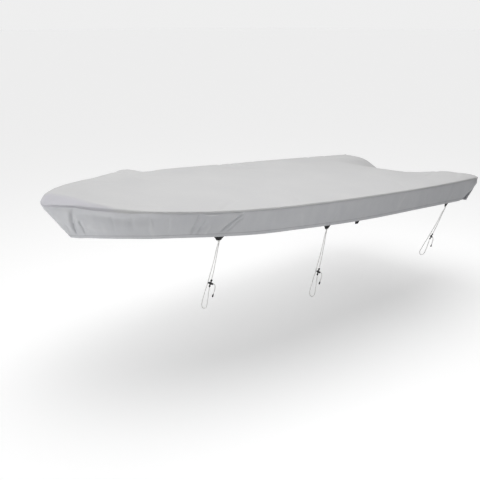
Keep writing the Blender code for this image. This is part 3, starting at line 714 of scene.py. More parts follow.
TOP_SPACING = 0.0150        # of the top's threads along and across, as far as they are laid out here
TOP_ACROSS = 108
TURNS = 6                   # rows over the roll
BAND_ROWS = 5               # and down the rim's face

port_edges = side_edges(-1, TOP_SPACING)
starboard_edges = side_edges(1, TOP_SPACING)
lines = len(port_edges) - 1
quarter = abs(port_edges[-1].rim.y)
stern_along = port_edges[-1].along
round_edges = port_edges + [stern_edge(quarter * across_share(j, TOP_ACROSS),
                                       stern_along + quarter * (across_share(j, TOP_ACROSS) + 1))
                            for j in range(1, TOP_ACROSS)] + starboard_edges[::-1]

# The nose's facet lies straight between the rim and the crest: for even steps of y, the place and height
# of its foot, on the rim, and of its head, on the crest.
facet, facet_shares = [], {}
for n in range(2 * NOSE_STEPS + 1):
    y = NOSE_HALF * (n / NOSE_STEPS - 1)
    side_of = port_edges if y < 0 else starboard_edges
    foot = min((edge for edge in side_of if edge.rim.x < 1), key=lambda edge: abs(
        abs(edge.rolled(math.pi / 2).y) - abs(y))).rolled(math.pi / 2)
    head_x = nose_crest(y)
    _, beam, height, *_ = outline_at(head_x)
    head = (height + CROWN * (1 - min(1.0, abs(y) / beam) ** 4) + top_form(head_x, y)
            + top_relief(head_x, y))
    facet.append((foot.x, foot.z, head_x, head))


def on_facet(x, y, level):
    """Height of the top at a place of the nose, if level is its height without the facet."""
    if x > NOSE_END or abs(y) >= NOSE_HALF:
        return level
    at = (y / NOSE_HALF + 1) * NOSE_STEPS
    low, share = facet[int(at)], at - int(at)
    high = facet[min(2 * NOSE_STEPS, int(at) + 1)]
    foot_x, foot_z, head_x, head_z = (one + (two - one) * share for one, two in zip(low, high))
    if head_x - foot_x < 0.004:
        return level
    straight = foot_z + (head_z - foot_z) * (x - foot_x) / (head_x - foot_x)
    taken = eased((head_x + NOSE_SOFT - x) / (2 * NOSE_SOFT)) * eased((head_x - foot_x) / 0.05)
    return level + (straight - level) * taken


def top_place(line, row):
    """Point of the top between its two edges. Row 0 is the starboard edge."""
    port, starboard = port_edges[line].rolled(math.pi / 2), starboard_edges[line].rolled(math.pi / 2)
    if row == 0:
        return starboard
    if row == TOP_ACROSS:
        return port
    across = across_share(TOP_ACROSS - row, TOP_ACROSS)
    if line == lines:
        return round_edges[lines + TOP_ACROSS - row].rolled(math.pi / 2)
    point = port.lerp(starboard, (across + 1) / 2)
    x = point.x
    edge_x, falls = port_edges[line].rim.x, dip(port_edges[line].rim.x, port_edges[line].rim.y)
    levels = []
    for end, edge in ((port, port_edges[line]), (starboard, starboard_edges[line])):
        levels.append(end.z - top_form(edge_x, edge.rim.y) - top_relief(edge_x, edge.rim.y) + falls)
    crown = CROWN * (1 - across ** 4) * eased((LAST_STATION + CORNER_RADIUS - ROLL - x) / CROWN_END)
    point.z = sum(levels) / 2 + crown + top_form(x, point.y) + top_relief(x, point.y) - dip(x, point.y)
    point.z = on_facet(x, point.y, point.z)
    # the share of the nose's facet, the mask of its painted shade
    facet_shares[line, row] = nose_share(x, point.y)
    return point


def band_place(column, row):
    edge = round_edges[column]
    if row <= TURNS:
        return edge.rolled(math.pi / 2 * (1 - row / TURNS))
    share = (row - TURNS) / BAND_ROWS
    foot = edge.rolled(0.0)
    seam = edge.seam() + Vector((0, 0, SEAM_GAP / 2))
    bulge = 0.0012 * math.sin(math.pi * share) * (1 + 0.5 * math.sin(edge.along * 23))
    return foot.lerp(seam, share) + edge.outward * bulge


def top_cut(line, row):
    return port_edges[line].rim.x, quarter * across_share(TOP_ACROSS - row, TOP_ACROSS)


def band_cut(column, row):
    return round_edges[column].along, 0.9 + 0.0032 * row


def top_marks(line, row):
    # The third mark is the mask of the painted shade on the nose's facet.
    return 1.0, 1.0, facet_shares.get((line, row), 0.0)


def band_marks(column, row):
    # The roll and band at the nose take the facet's painted shade too.
    nose = nose_share(round_edges[column].rim.x, round_edges[column].rim.y)
    if row <= TURNS:
        return 0.013 + 0.019 * (1 - row / TURNS), 1.0, nose
    return 0.0135 * (1 - (row - TURNS) / BAND_ROWS), 1.0, nose


top = bmesh.new()
lay_cloth(top, lines, TOP_ACROSS, top_place, top_cut, top_marks)
lay_cloth(top, len(round_edges) - 1, TURNS + BAND_ROWS, band_place, band_cut, band_marks)
bmesh.ops.remove_doubles(top, verts=top.verts, dist=0.00002)
bmesh.ops.dissolve_degenerate(top, dist=0.00001, edges=top.edges)
top_cloth = finish_piece("top_cloth", top, cover_cloth("top_cloth_finish", False),
                         "top_panel", CLOTH)

# --- The skirt -------------------------------------------------------------------------------------
# Three strips of the same cloth, sewn to the top's turned-down edge and to each other at the bow and at
# both quarters. Each has its lower edge folded up and stitched as a hem, and hangs with soft folds where
# its tie-downs pull it.

HEM_EXTRA = 0.0008          # the folded hem stands this much proud
HEM = 0.027                 # and is this wide
FOLD_END = 0.88             # the folds below have died out at this share of the depth
FOLD_FADE = 0.30
FOLD_PAINTED_LIGHT_SHARE = 0.15            # share of their depth that counts for the painted shade in them, and the painted highlight on a ridge

# Folds of the port skirt: distance along the rim from the bow's tip and down from it, at both ends, half
# width, depth (a ridge is negative), and the breadth of the far side.
FOLDS = (
    (0.213, 0.044, 0.122, 0.232, 0.018, 0.010, 1.0),
    (0.237, 0.125, 0.240, 0.215, 0.014, 0.006, 1.0),
    (0.320, 0.058, 0.700, 0.052, 0.036, 0.0100, 1.0),
    (0.160, 0.060, 0.080, 0.220, 0.022, -0.006, 1.0),
    (0.270, 0.165, 0.400, 0.160, 0.032, -0.006, 1.0),
    (1.076, 0.040, 1.024, 0.155, 0.014, 0.006, 1.0),
    (1.125, 0.085, 1.061, 0.155, 0.013, 0.005, 1.0),
    (1.368, 0.042, 1.240, 0.148, 0.015, 0.007, 1.0),
    (1.330, 0.040, 1.190, 0.165, 0.022, -0.004, 1.0),
)

# Lesser creases of the port skirt, given in the same way.
PORT_CREASES = (
    (0.191, 0.065, 0.163, 0.113, 0.007, 0.0038, 2.0),
    (0.147, 0.150, 0.109, 0.230, 0.007, 0.0080, 1.5),
    (0.224, 0.134, 0.232, 0.215, 0.007, 0.0062, 1.5),
    (0.072, 0.156, 0.058, 0.195, 0.007, 0.0032, 1.5),
    (1.064, 0.022, 1.022, 0.140, 0.006, 0.0060, 1.7),
    (1.113, 0.069, 1.068, 0.142, 0.006, 0.0052, 1.7),
    (1.150, 0.110, 1.118, 0.160, 0.007, -0.0022, 1.4),
    (1.118, 0.015, 1.190, 0.017, 0.006, -0.0026, 1.0),
    (1.368, 0.040, 1.256, 0.130, 0.006, 0.0072, 1.8),
    (1.384, 0.060, 1.292, 0.140, 0.006, 0.0048, 1.4),
    (0.860, 0.060, 0.850, 0.165, 0.012, 0.0020, 1.4),
    (0.735, 0.070, 0.742, 0.170, 0.011, -0.0016, 1.2),
    (0.610, 0.055, 0.604, 0.160, 0.014, 0.0022, 1.5),
    (0.470, 0.060, 0.476, 0.180, 0.012, 0.0020, 1.2),
    (1.640, 0.060, 1.610, 0.150, 0.016, 0.0016, 1.4),
    (1.930, 0.070, 1.960, 0.160, 0.016, -0.0014, 1.2),
    (2.190, 0.120, 2.235, 0.180, 0.009, 0.0022, 1.6),
    (2.320, 0.115, 2.262, 0.182, 0.009, 0.0020, 1.5),
    (2.780, 0.060, 2.760, 0.165, 0.018, 0.0016, 1.6),
    (3.180, 0.050, 3.140, 0.150, 0.016, -0.0015, 1.2),
    (3.560, 0.055, 3.600, 0.170, 0.014, 0.0018, 1.5),
    (3.920, 0.110, 3.968, 0.180, 0.009, 0.0024, 1.6),
    (4.080, 0.105, 4.020, 0.180, 0.010, 0.0022, 1.6),
    (4.435, 0.025, 4.405, 0.110, 0.008, 0.0035, 1.3),
)

STARBOARD_CREASES = (
    (0.190, 0.070, 0.120, 0.215, 0.018, 0.0050, 1.4),
    (0.330, 0.080, 0.310, 0.190, 0.030, -0.0030, 1.0),
    (0.620, 0.060, 0.590, 0.160, 0.014, 0.0022, 1.5),
    (1.140, 0.060, 1.190, 0.165, 0.012, 0.0045, 1.8),
    (1.310, 0.050, 1.246, 0.165, 0.012, 0.0040, 1.7),
    (1.700, 0.060, 1.720, 0.150, 0.018, -0.0018, 1.2),
    (2.180, 0.090, 2.222, 0.180, 0.010, 0.0028, 1.6),
    (2.330, 0.080, 2.262, 0.180, 0.011, 0.0026, 1.5),
    (2.900, 0.060, 2.880, 0.160, 0.018, 0.0020, 1.4),
    (3.400, 0.050, 3.380, 0.150, 0.016, -0.0018, 1.3),
    (3.900, 0.090, 3.960, 0.185, 0.011, 0.0030, 1.6),
    (4.100, 0.080, 4.030, 0.185, 0.011, 0.0026, 1.6),
)

TRANSOM_CREASES = (
    (4.560, 0.060, 4.600, 0.170, 0.013, 0.0030, 1.5),
    (4.760, 0.050, 4.850, 0.150, 0.014, 0.0034, 1.6),
    (5.640, 0.050, 5.560, 0.150, 0.014, 0.0034, 1.6),
    (5.860, 0.060, 5.820, 0.170, 0.013, 0.0028, 1.5),
)

SKIRT_SPACING = 0.0080      # of the threads along the skirt, and of the port one's
PORT_SPACING = 0.0052
STERN_STEPS = 190           # threads across the stern
CORNER = 8                  # threads round each corner of the stern
BELOW_RIM = 0.005           # the seam lies this far below the rim, from which the folds are measured
SEAM_TUCK = 0.0022          # the skirt's upper edge is drawn in this far under the rim's face
SEAM_REACH = 0.010
BOW_SWELL = (0.007, 0.17)  # the skirt stands forward of the bow's line by this much over this length
UPPER_ROWS = (0.0, 0.0015, 0.0035, 0.006, 0.009, 0.013)    # depth of the rows below the seam
FACE_ROWS = 26              # rows from there to the hem
FOLD_ROWS = (-0.0015, 0.0010, 0.0035)     # depth of the rows about the hem's fold
HEM_ROWS = 5                # rows down the hem
HEM_END = (0.004, 0.0016)   # height of the last rows over its edge
PUCKER = (0.00035, 0.021)   # height and length of the hem's puckers
SKIRT_WAVES = ((0.0016, 6.5, (0.0, 0.0, 0.0)), (0.0006, 19, (3.0, 1.0, 4.0)))


def skirt_shares(depth):
    """Rows of a skirt as shares of its depth: close together at the seam, the fold and the hem."""
    shares = [row / depth for row in UPPER_ROWS]
    fold = 1 - HEM / depth
    for rows, end in ((FACE_ROWS, fold - HEM_END[0] / depth), (HEM_ROWS, 1 - HEM_END[0] / depth)):
        first = shares[-1]
        shares += [first + (end - first) * n / rows for n in range(1, rows + 1)]
        if rows == FACE_ROWS:
            shares += [fold + row / depth for row in FOLD_ROWS]
    return shares + [1 - HEM_END[1] / depth, 1.0]


def creased(edge, share, low, creases):
    """Depth of the lesser creases at a place of a skirt."""
    return eased((0.97 - share) / 0.14) * eased(share / 0.06) * sum(
        crease(edge.along, low, row) for row in creases)


def skirt_point(edge, share, folds, creases):
    """Point of a skirt between the seam and the hem, with its folds."""
    seam, fall, facing = edge.hang()
    low = BELOW_RIM + share * -fall.z
    pressed = eased((FOLD_END - share) / FOLD_FADE) if share else 0.0
    depth = pressed * sum(crease(edge.along, low, row) for row in folds)
    depth += creased(edge, share, low, creases)
    below = EAR[1] * eased(share / 0.25) * eased((0.95 - share) / 0.70)
    out = edge.ear * (below + EAR[2] * share ** 2.5)
    slack = eased(share / 0.2) * (0.45 + 0.55 * eased((0.9 - share) / 0.3))
    depth += slack * uneven(Vector((edge.along, low * 0.7, edge.side * 3.0)), SKIRT_WAVES)
    from_seam = share * fall.length
    tucked = SEAM_TUCK * eased(1 - from_seam / SEAM_REACH)
    proud = -tucked * (0.15 + 0.85 * eased((edge.along - 0.2) / 0.8))
    proud += BOW_SWELL[0] * swell(edge.along / BOW_SWELL[1]) * eased(share / 0.12) * (1 - share)
    from_fold = HEM - (1 - share) * fall.length
    in_hem = eased(from_fold / 0.002 + 0.5)
    uneven_steps = 1.3 * math.sin(edge.along * 9)
    puckers = PUCKER[0] * math.sin(edge.along * 2 * math.pi / PUCKER[1] + uneven_steps)
    proud += in_hem * (HEM_EXTRA + puckers * eased(1.2 - abs(from_fold) / 0.03))
    proud -= 0.0007 * swell((from_fold - HEM_ROW) / 0.0016)
    return seam + fall * share + facing * (proud - depth) + EAR_TOWARDS * out


def make_skirt(name, replaced, edges, folds, creases, finish):
    """One strip of the skirt between the first and the last of these edges."""
    depths = [edge.hang()[1].length for edge in edges]
    shares = [skirt_shares(depth) for depth in depths]

    def place(column, row):
        edge = edges[column]
        point = skirt_point(edge, shares[column][row], folds, creases)
        if row == 0:
            point.z -= SEAM_GAP / 2
        if column in (0, len(edges) - 1):
            inner = edges[1 if column == 0 else len(edges) - 2].rim - edge.rim
            inner.z = 0
            point += inner.normalized() * SEAM_GAP / 2
        return point

    def cut(column, row):
        return edges[column].along, -shares[column][row] * depths[column]

    def marks(column, row):
        edge, share = edges[column], shares[column][row]
        down = share * depths[column]
        low = BELOW_RIM + share * (edge.seam().z - edge.hem.z)
        # The mask of painted light: the depth of the lesser creases and a share of the folds' depth,
        # painted in shade where positive and with a highlight where negative.
        folded = sum(crease(edge.along, low, fold) for fold in folds)
        folded *= FOLD_PAINTED_LIGHT_SHARE * eased((FOLD_END - share) / FOLD_FADE)
        deep = creased(edge, share, low, creases) + folded
        return down, HEM - depths[column] + down, deep

    strip = bmesh.new()
    lay_cloth(strip, len(edges) - 1, len(shares[0]) - 1, place, cut, marks)
    piece = finish_piece(name, strip, finish, replaced, CLOTH)


skirt_finish = cover_cloth("skirt_cloth_finish", True)
port_side, starboard_side = side_edges(-1, PORT_SPACING), side_edges(1, SKIRT_SPACING)
half, stern = abs(port_side[-1].rim.y), port_side[-1].along
across_stern = [stern_edge(half * (2 * j / STERN_STEPS - 1), stern + half * 2 * j / STERN_STEPS)
                for j in range(1, STERN_STEPS)]
far_corner = side_edges(1, SKIRT_SPACING)[-CORNER - 1:][::-1]
for n, edge in enumerate(far_corner):
    edge.along = stern + 2 * half + CORNER_RADIUS * math.pi / 2 * n / CORNER
make_skirt("skirt_cloth_port", "skirt_port", port_side[:-CORNER], FOLDS, PORT_CREASES,
           skirt_finish)
make_skirt("skirt_cloth_transom", "skirt_transom",
           port_side[-CORNER - 1:] + across_stern + far_corner, (), TRANSOM_CREASES,
           skirt_finish)
make_skirt("skirt_cloth_starboard", "skirt_starboard", starboard_side[:-CORNER][::-1], (),
           STARBOARD_CREASES, skirt_finish)

# --- The tabs --------------------------------------------------------------------------------------
# Short pieces of black polypropylene webbing, cut to a taper and sewn in behind the hem, three on each
# side for the tie-downs and a spare. Their rows of thread show on the hem's face.

TIES = (
    ("1", 0.924, 0.336, 0.544, 0.27),
    ("2", 1.935, 0.363, 0.583, 0.18),
    ("3", 3.682, 0.315, 0.516, 0.38),
)                           # name, station, drop to the tensioner and to the loop's foot, inboard lean
SPARE_STATION = 2.30
TAB = (0.080, 0.035, 0.031)           # breadth at the hem, at the tip, and drop
SPARE_TAB = (0.064, 0.038, 0.027)
TAB_TUCK = 0.018            # how far a tab reaches up behind the hem
TAB_BEHIND = 0.0004         # and how far behind it, apart from the cloth and the gap
TAB_GRID = (14, 12)         # its columns and rows
WEBBING = 0.002
WEBBING_ROUND = 0.0006


def webbing_finish():
    """Black webbing: ribs across, the sheen of its yarn, and grey where it is rubbed."""
    finish = Finish("tab_webbing_finish")
    along, down = finish.cut()
    ribs, worn = down.wave(0.0018), finish.cloudy(60.0, 3.0)
    share = finish.clamped((worn - 0.42) * 1.5 + ribs * 0.15)
    colour = finish.mixed(share, (0.010, 0.010, 0.011, 1), (0.045, 0.045, 0.048, 1))
    height = ribs * 0.00025 + along.wave(YARNS) * 0.0001 + finish.cloudy(420.0) * 0.00015
    finish.shade(Base_Color=colour, Roughness=finish.clamped(0.55 + worn * 0.3),
                 Normal=finish.bumped(0.9, 1.0, height), Specular_IOR_Level=0.35)
    return finish.material


def edge_at(side, station):
    """The edge of that side nearest a station."""
    return min(port_side if side < 0 else starboard_side, key=lambda edge: abs(edge.rim.x - station))


def make_tab(side_name, side, name, station, breadth, tip, drop, finish):
    """One tab, which hangs as the skirt does at its middle."""
    hem_points = []
    for share in (-1, 1, 0):
        seam, fall, facing = edge_at(side, station + share * breadth / 2).hang()
        hem_points.append(seam + fall - facing * (CLOTH + SEAM_GAP + TAB_BEHIND))
    fore, aft, middle = hem_points
    fall = fall.normalized()
    tip_point = middle + fall * drop
    half_tip = (aft - fore).normalized() * tip / 2
    columns, rows = TAB_GRID

    def place(column, row):
        u, v = 2 * column / columns - 1, row / rows
        share = (v * (TAB_TUCK + drop) - TAB_TUCK) / drop
        at_hem = middle.lerp(aft if u > 0 else fore, abs(u))
        if share <= 0:
            return at_hem + fall * share * drop
        point = at_hem.lerp(tip_point + half_tip * u, share)
        curl = 0.0014 * u * u * share + 0.0009 * math.sin(2.6 * u + station * 9) * share
        waist = -0.0016 * math.sin(math.pi * share) * u
        return point + facing * curl + half_tip.normalized() * waist

    webbing = bmesh.new()
    flat = webbing.loops.layers.uv.verify()
    crossings = bmesh.ops.create_grid(webbing, x_segments=columns, y_segments=rows, size=1.0)["verts"]
    for vert in crossings:
        for loop in vert.link_loops:
            loop[flat].uv = (vert.co.x * breadth / 2, vert.co.y * (TAB_TUCK + drop) / 2)
    for vert in crossings:
        column, row = round((vert.co.x + 1) / 2 * columns), round((1 - vert.co.y) / 2 * rows)
        vert.co = place(column, row) + AT_MOUNT
    if side > 0:
        bmesh.ops.reverse_faces(webbing, faces=webbing.faces)
    tab = side_name + "_" + name
    piece = finish_piece("webbing_tab_" + tab, webbing, finish, "tab_" + tab, WEBBING)
    rounding = piece.modifiers.new("edges", "BEVEL")
    rounding.width, rounding.segments, rounding.limit_method = WEBBING_ROUND, 2, "ANGLE"
    rounding.angle_limit = math.radians(60)


SIDES = (("port", -1), ("starboard", 1))
tab_webbing = webbing_finish()
for side_name, side in SIDES:
    make_tab(side_name, side, "spare", SPARE_STATION, *SPARE_TAB, tab_webbing)
    for name, station, *_ in TIES:
        make_tab(side_name, side, name, station, *TAB, tab_webbing)

THREAD = 0.0009             # thickness of the bar-tacking thread
STITCH = 0.0042             # length of a stitch
STITCH_EVERY = 1.45         # from one to the next, in lengths
STITCHED = 0.8              # share of a tab's breadth that is sewn
THREAD_ROWS = (0.0065, 0.0150)        # height of the two rows over the hem's edge
thread_rows = bmesh.new()
for side_name, side in SIDES:
    for station, breadth in [(tie[1], TAB[0]) for tie in TIES] + [(SPARE_STATION, SPARE_TAB[0])]:
        sewn = breadth * STITCHED
        count = round(sewn / (STITCH * STITCH_EVERY))
        for from_hem in THREAD_ROWS:
            for n in range(count):
                at = station + (n / (count - 1) - 0.5) * sewn
                edge = edge_at(side, at)
                _, fall, facing = edge.hang()
                near = skirt_point(edge, 1 - from_hem / fall.length, (), ())
                lie = edge.outward.cross(Vector((0, 0, 1))).normalized()
                near += lie * (at - edge.rim.x) * (1 if lie.x > 0 else -1) + AT_MOUNT
                turn = Matrix((lie, facing.cross(lie), facing)).transposed().to_4x4()
                bmesh.ops.create_uvsphere(
                    thread_rows, u_segments=6, v_segments=4, radius=0.5,
                    matrix=Matrix.Translation(near) @ turn
                    @ Matrix.Diagonal((STITCH, THREAD, THREAD, 1)))
thread = Finish("tab_thread_finish")
twist = thread.cloudy(700.0)
thread.shade(Base_Color=thread.mixed(twist, (0.030, 0.030, 0.034, 1), (0.085, 0.085, 0.090, 1)),
             Roughness=0.6, Normal=thread.bumped(0.7, 0.0004, twist))
finish_piece("tab_stitching", thread_rows, thread.material, None)

# --- The tie-downs ---------------------------------------------------------------------------------
# White braided cord, 6 mm thick, tied through the tab's tip. A long run hangs to an open loop and comes
# back up to a moulded tensioner, which a short run holds and from which a tail hangs with a cap.

CORD = 0.006
CORD_ROUND = 14             # sides of a cord
CORD_RINGS = 0.004          # spacing of its rings
CLEAR = 0.0006
KNOT = (0.019, 0.013, 0.017)
CORDS_APART = 0.0036
LONG_ROUTE = (
    (-0.0050, -0.003, 0.18), (-0.0060, -0.006, 0.45), (-0.0090, -0.013, 0.74), (-0.0125, -0.021, 1.02),
    (-0.0150, -0.029, 1.35), (-0.0165, -0.036, 1.72), (-0.0165, -0.036, 1.88), (-0.0160, -0.026, 1.975),
    (-0.0150, -0.011, 2.00), (-0.0140, 0.004, 1.975), (-0.0130, 0.013, 1.88), (-0.0120, 0.013, 1.70),
    (-0.0090, 0.006, 1.38),
)                           # aft, outboard and level: 0 at the knot, 1 at the tensioner, 2 at the foot
SHORT_ROUTE = ((0.0045, 0.001, 0.18), (0.0040, 0.002, 0.45), (0.0040, 0.001, 0.74))
TAIL_BEND = (0.0385, 0.0205)          # aft and down of the tensioner's middle
TAIL_ROUTE = (
    (0.0050, 0.001, 0.0140), (0.0035, 0.002, 0.0320), (-0.0045, 0.002, 0.0520), (-0.0115, 0.001, 0.0690),
)                           # aft, outboard and down of that bend
EYE = (0.001, -0.0245, 0.0095)        # aft, down and radius of the tensioner's eye
BAR = (0.0190, 0.0110, 0.0080)        # of its cross bar's after end
FOOT = (-0.0065, 0.0215, 0.0076)      # of its foot
NECK = 0.0055
TENSIONER_THICK = 0.009
CAP_PROFILE = (
    (0.0000, 0.0000), (0.0000, 0.0030), (0.0004, 0.0037), (0.0020, 0.0039), (0.0026, 0.0034),
    (0.0034, 0.0034), (0.0040, 0.0040), (0.0075, 0.0046), (0.0115, 0.0053), (0.0155, 0.0060),
    (0.0185, 0.0059), (0.0215, 0.0052), (0.0236, 0.0040), (0.0247, 0.0024), (0.0250, 0.0000),
)                           # down the cap and its radius
COLLAR_PROFILE = (
    (0.0, 0.0), (0.0, 0.0034), (0.0006, 0.0040), (0.0024, 0.0040), (0.0030, 0.0036), (0.0030, 0.0),
)                           # the same for the collar of the tensioner's foot
STRAND, STRANDS = 0.0056, 4           # length of a turn of a strand, and how many lie side by side
EYE_ROD = 0.0029            # radius of the rod that the eye is made of
EYE_DEEP = 1.35             # how many times deeper it is than wide
RIB = (0.0009, 0.0058, 0.0065)        # depth and spacing of the bar's ribs, and half its plain middle


def cord_finish():
    """White polyester braid: two sets of strands that cross, with painted shade in the grooves between
    them, and patches of soil.
    """
    finish = Finish("tie_cord_finish")
    along, around = finish.cut()
    one, two = along / STRAND + around * STRANDS, along / STRAND - around * STRANDS
    strands = one.wave(1.0) * two.wave(1.0)
    fuzz, soiled = finish.cloudy(900.0), finish.cloudy(26.0, 3.0)
    # Painted shade: the braid is greyer where the strands' bump is low, between them.
    share = finish.clamped(0.72 + strands * 0.35 - (soiled - 0.45) * 0.9)
    finish.shade(Base_Color=finish.mixed(share, (0.66, 0.66, 0.64, 1), (0.93, 0.93, 0.91, 1)),
                 Roughness=finish.clamped(0.6 + fuzz * 0.3),
                 Normal=finish.bumped(0.8, 1.0, strands * 0.00045 + fuzz * 0.0002),
                 Specular_IOR_Level=0.3, Sheen_Weight=0.2)
    return finish.material


def plastic_finish():
    """Black moulded nylon with a fine moulded grain, satin, scuffed grey here and there."""
    finish = Finish("tie_plastic_finish")
    grain, scuffs = finish.cloudy(1500.0), finish.cloudy(150.0, 4.0, 0.7)
    worn = finish.clamped((scuffs - 0.60) * 6.0)
    finish.shade(Base_Color=finish.mixed(worn, (0.012, 0.012, 0.013, 1), (0.060, 0.060, 0.062, 1)),
                 Roughness=finish.clamped(0.34 + worn * 0.35 + (grain - 0.5) * 0.15),
                 Normal=finish.bumped(0.4, 0.0003, grain + scuffs * 0.6), Specular_IOR_Level=0.45)
    return finish.material


def smooth_route(route, spacing, closed=False):
    """Evenly spaced points on a smooth curve through a route."""
    fine = []
    count = len(route)
    for index in range(count if closed else count - 1):
        low, high = route[index], route[(index + 1) % count]
        before = route[index - 1] if index or closed else low - (high - low)
        after = route[(index + 2) % count] if closed or index + 2 < count else high + (high - low)
        for step in range(24):
            t = step / 24
            bend = 2 * before - 5 * low + 4 * high - after
            twist = 3 * low - before - 3 * high + after
            fine.append(0.5 * (2 * low + (high - before) * t + bend * t * t + twist * t ** 3))
    fine.append(route[0] if closed else route[-1])
    lengths = [0.0]
    for start, end in zip(fine, fine[1:]):
        lengths.append(lengths[-1] + (end - start).length)
    steps = max(8, round(lengths[-1] / spacing))
    points, index = [], 1
    for n in range(steps + 1):
        wanted = lengths[-1] * n / steps
        while index < len(fine) - 1 and lengths[index] < wanted:
            index += 1
        share = (wanted - lengths[index - 1]) / (lengths[index] - lengths[index - 1])
        points.append(fine[index - 1].lerp(fine[index], share))
    return points, lengths[-1]


def add_cord(braid, route, radius, closed=False):
    """Roll a flat strip of braid round a route. Returns the route's points and its length."""
    points, length = smooth_route(route, CORD_RINGS if radius > 0.0025 else 0.002, closed)
    rings = len(points) - 1
    directions = []
    for n in range(rings + 1):
        if closed:
            directions.append((points[(n + 1) % rings] - points[(n - 1) % rings]).normalized())
        else:
            directions.append((points[min(n + 1, rings)] - points[max(n - 1, 0)]).normalized())
    across = [directions[0].orthogonal().normalized()]
    for n in range(1, rings + 1):
        turn = directions[n - 1].rotation_difference(directions[n])
        across.append((turn @ across[-1]).normalized())
    slip = across[-1].angle(across[0]) if closed else 0.0
    if closed and across[-1].cross(across[0]).dot(directions[0]) < 0:
        slip = -slip
    flat = braid.loops.layers.uv.verify()
    strip = bmesh.ops.create_grid(braid, x_segments=rings, y_segments=CORD_ROUND, size=1.0)["verts"]
    crossings = {vert: (round((vert.co.x + 1) / 2 * rings), round((vert.co.y + 1) / 2 * CORD_ROUND))
                 for vert in strip}
    for vert, (n, side) in crossings.items():
        for loop in vert.link_loops:
            loop[flat].uv = (length * n / rings, side / CORD_ROUND)
    for vert, (n, side) in crossings.items():
        angle = 2 * math.pi * side / CORD_ROUND + slip * n / rings
        out = across[n] * math.cos(angle) + directions[n].cross(across[n]) * math.sin(angle)
        vert.co = points[n] + out * radius
    bmesh.ops.remove_doubles(braid, verts=strip, dist=0.00001)
    return points, length


def tie_piece(name, mesh, material, replaced):
    """Finish one piece of a tie-down: close its open ends and give it its edges."""
    bmesh.ops.holes_fill(mesh, edges=mesh.edges, sides=0)
    bmesh.ops.recalc_face_normals(mesh, faces=mesh.faces)
    piece = finish_piece(name, mesh, material, replaced)
    piece.data.set_sharp_from_angle(angle=math.radians(50))
    return piece


def join_form(mesh, form):
    """Add one form to a moulding."""
    shape = bpy.data.meshes.new("form")
    form.to_mesh(shape)
    form.free()
    mesh.from_mesh(shape)
    bpy.data.meshes.remove(shape)


def add_turned(mesh, profile, at, along, press=None, share=1.0, sides=24):
    """Add a turned form to a moulding: profile is (distance along the axis, radius). press is the
    direction in which it is then pressed to this share of its thickness."""
    form = bmesh.new()
    line = [form.verts.new((radius, 0, height)) for height, radius in profile]
    edges = [form.edges.new(pair) for pair in zip(line, line[1:])]
    bmesh.ops.spin(form, geom=line + edges, cent=(0, 0, 0), axis=(0, 0, 1), angle=2 * math.pi,
                   steps=sides, use_merge=True)
    bmesh.ops.remove_doubles(form, verts=form.verts, dist=0.00002)
    turn = along.normalized().to_track_quat("Z", "Y").to_matrix().to_4x4()
    bmesh.ops.transform(form, matrix=turn, verts=form.verts)
    if press is not None:
        for vert in form.verts:
            vert.co -= press * (vert.co.dot(press) * (1 - share))
    bmesh.ops.translate(form, verts=form.verts, vec=at)
    bmesh.ops.recalc_face_normals(form, faces=form.faces)
    join_form(mesh, form)


def rounded(length, radius, steps=6):
    """Profile of a rod with round ends, from its middle line's start to its end."""
    low = [(-radius * math.cos(math.pi / 2 * n / steps), radius * math.sin(math.pi / 2 * n / steps))
           for n in range(steps + 1)]
    high = [(length + radius * math.sin(math.pi / 2 * n / steps),
             radius * math.cos(math.pi / 2 * n / steps)) for n in range(steps + 1)]
    return low + high


cord_material, plastic = cord_finish(), plastic_finish()

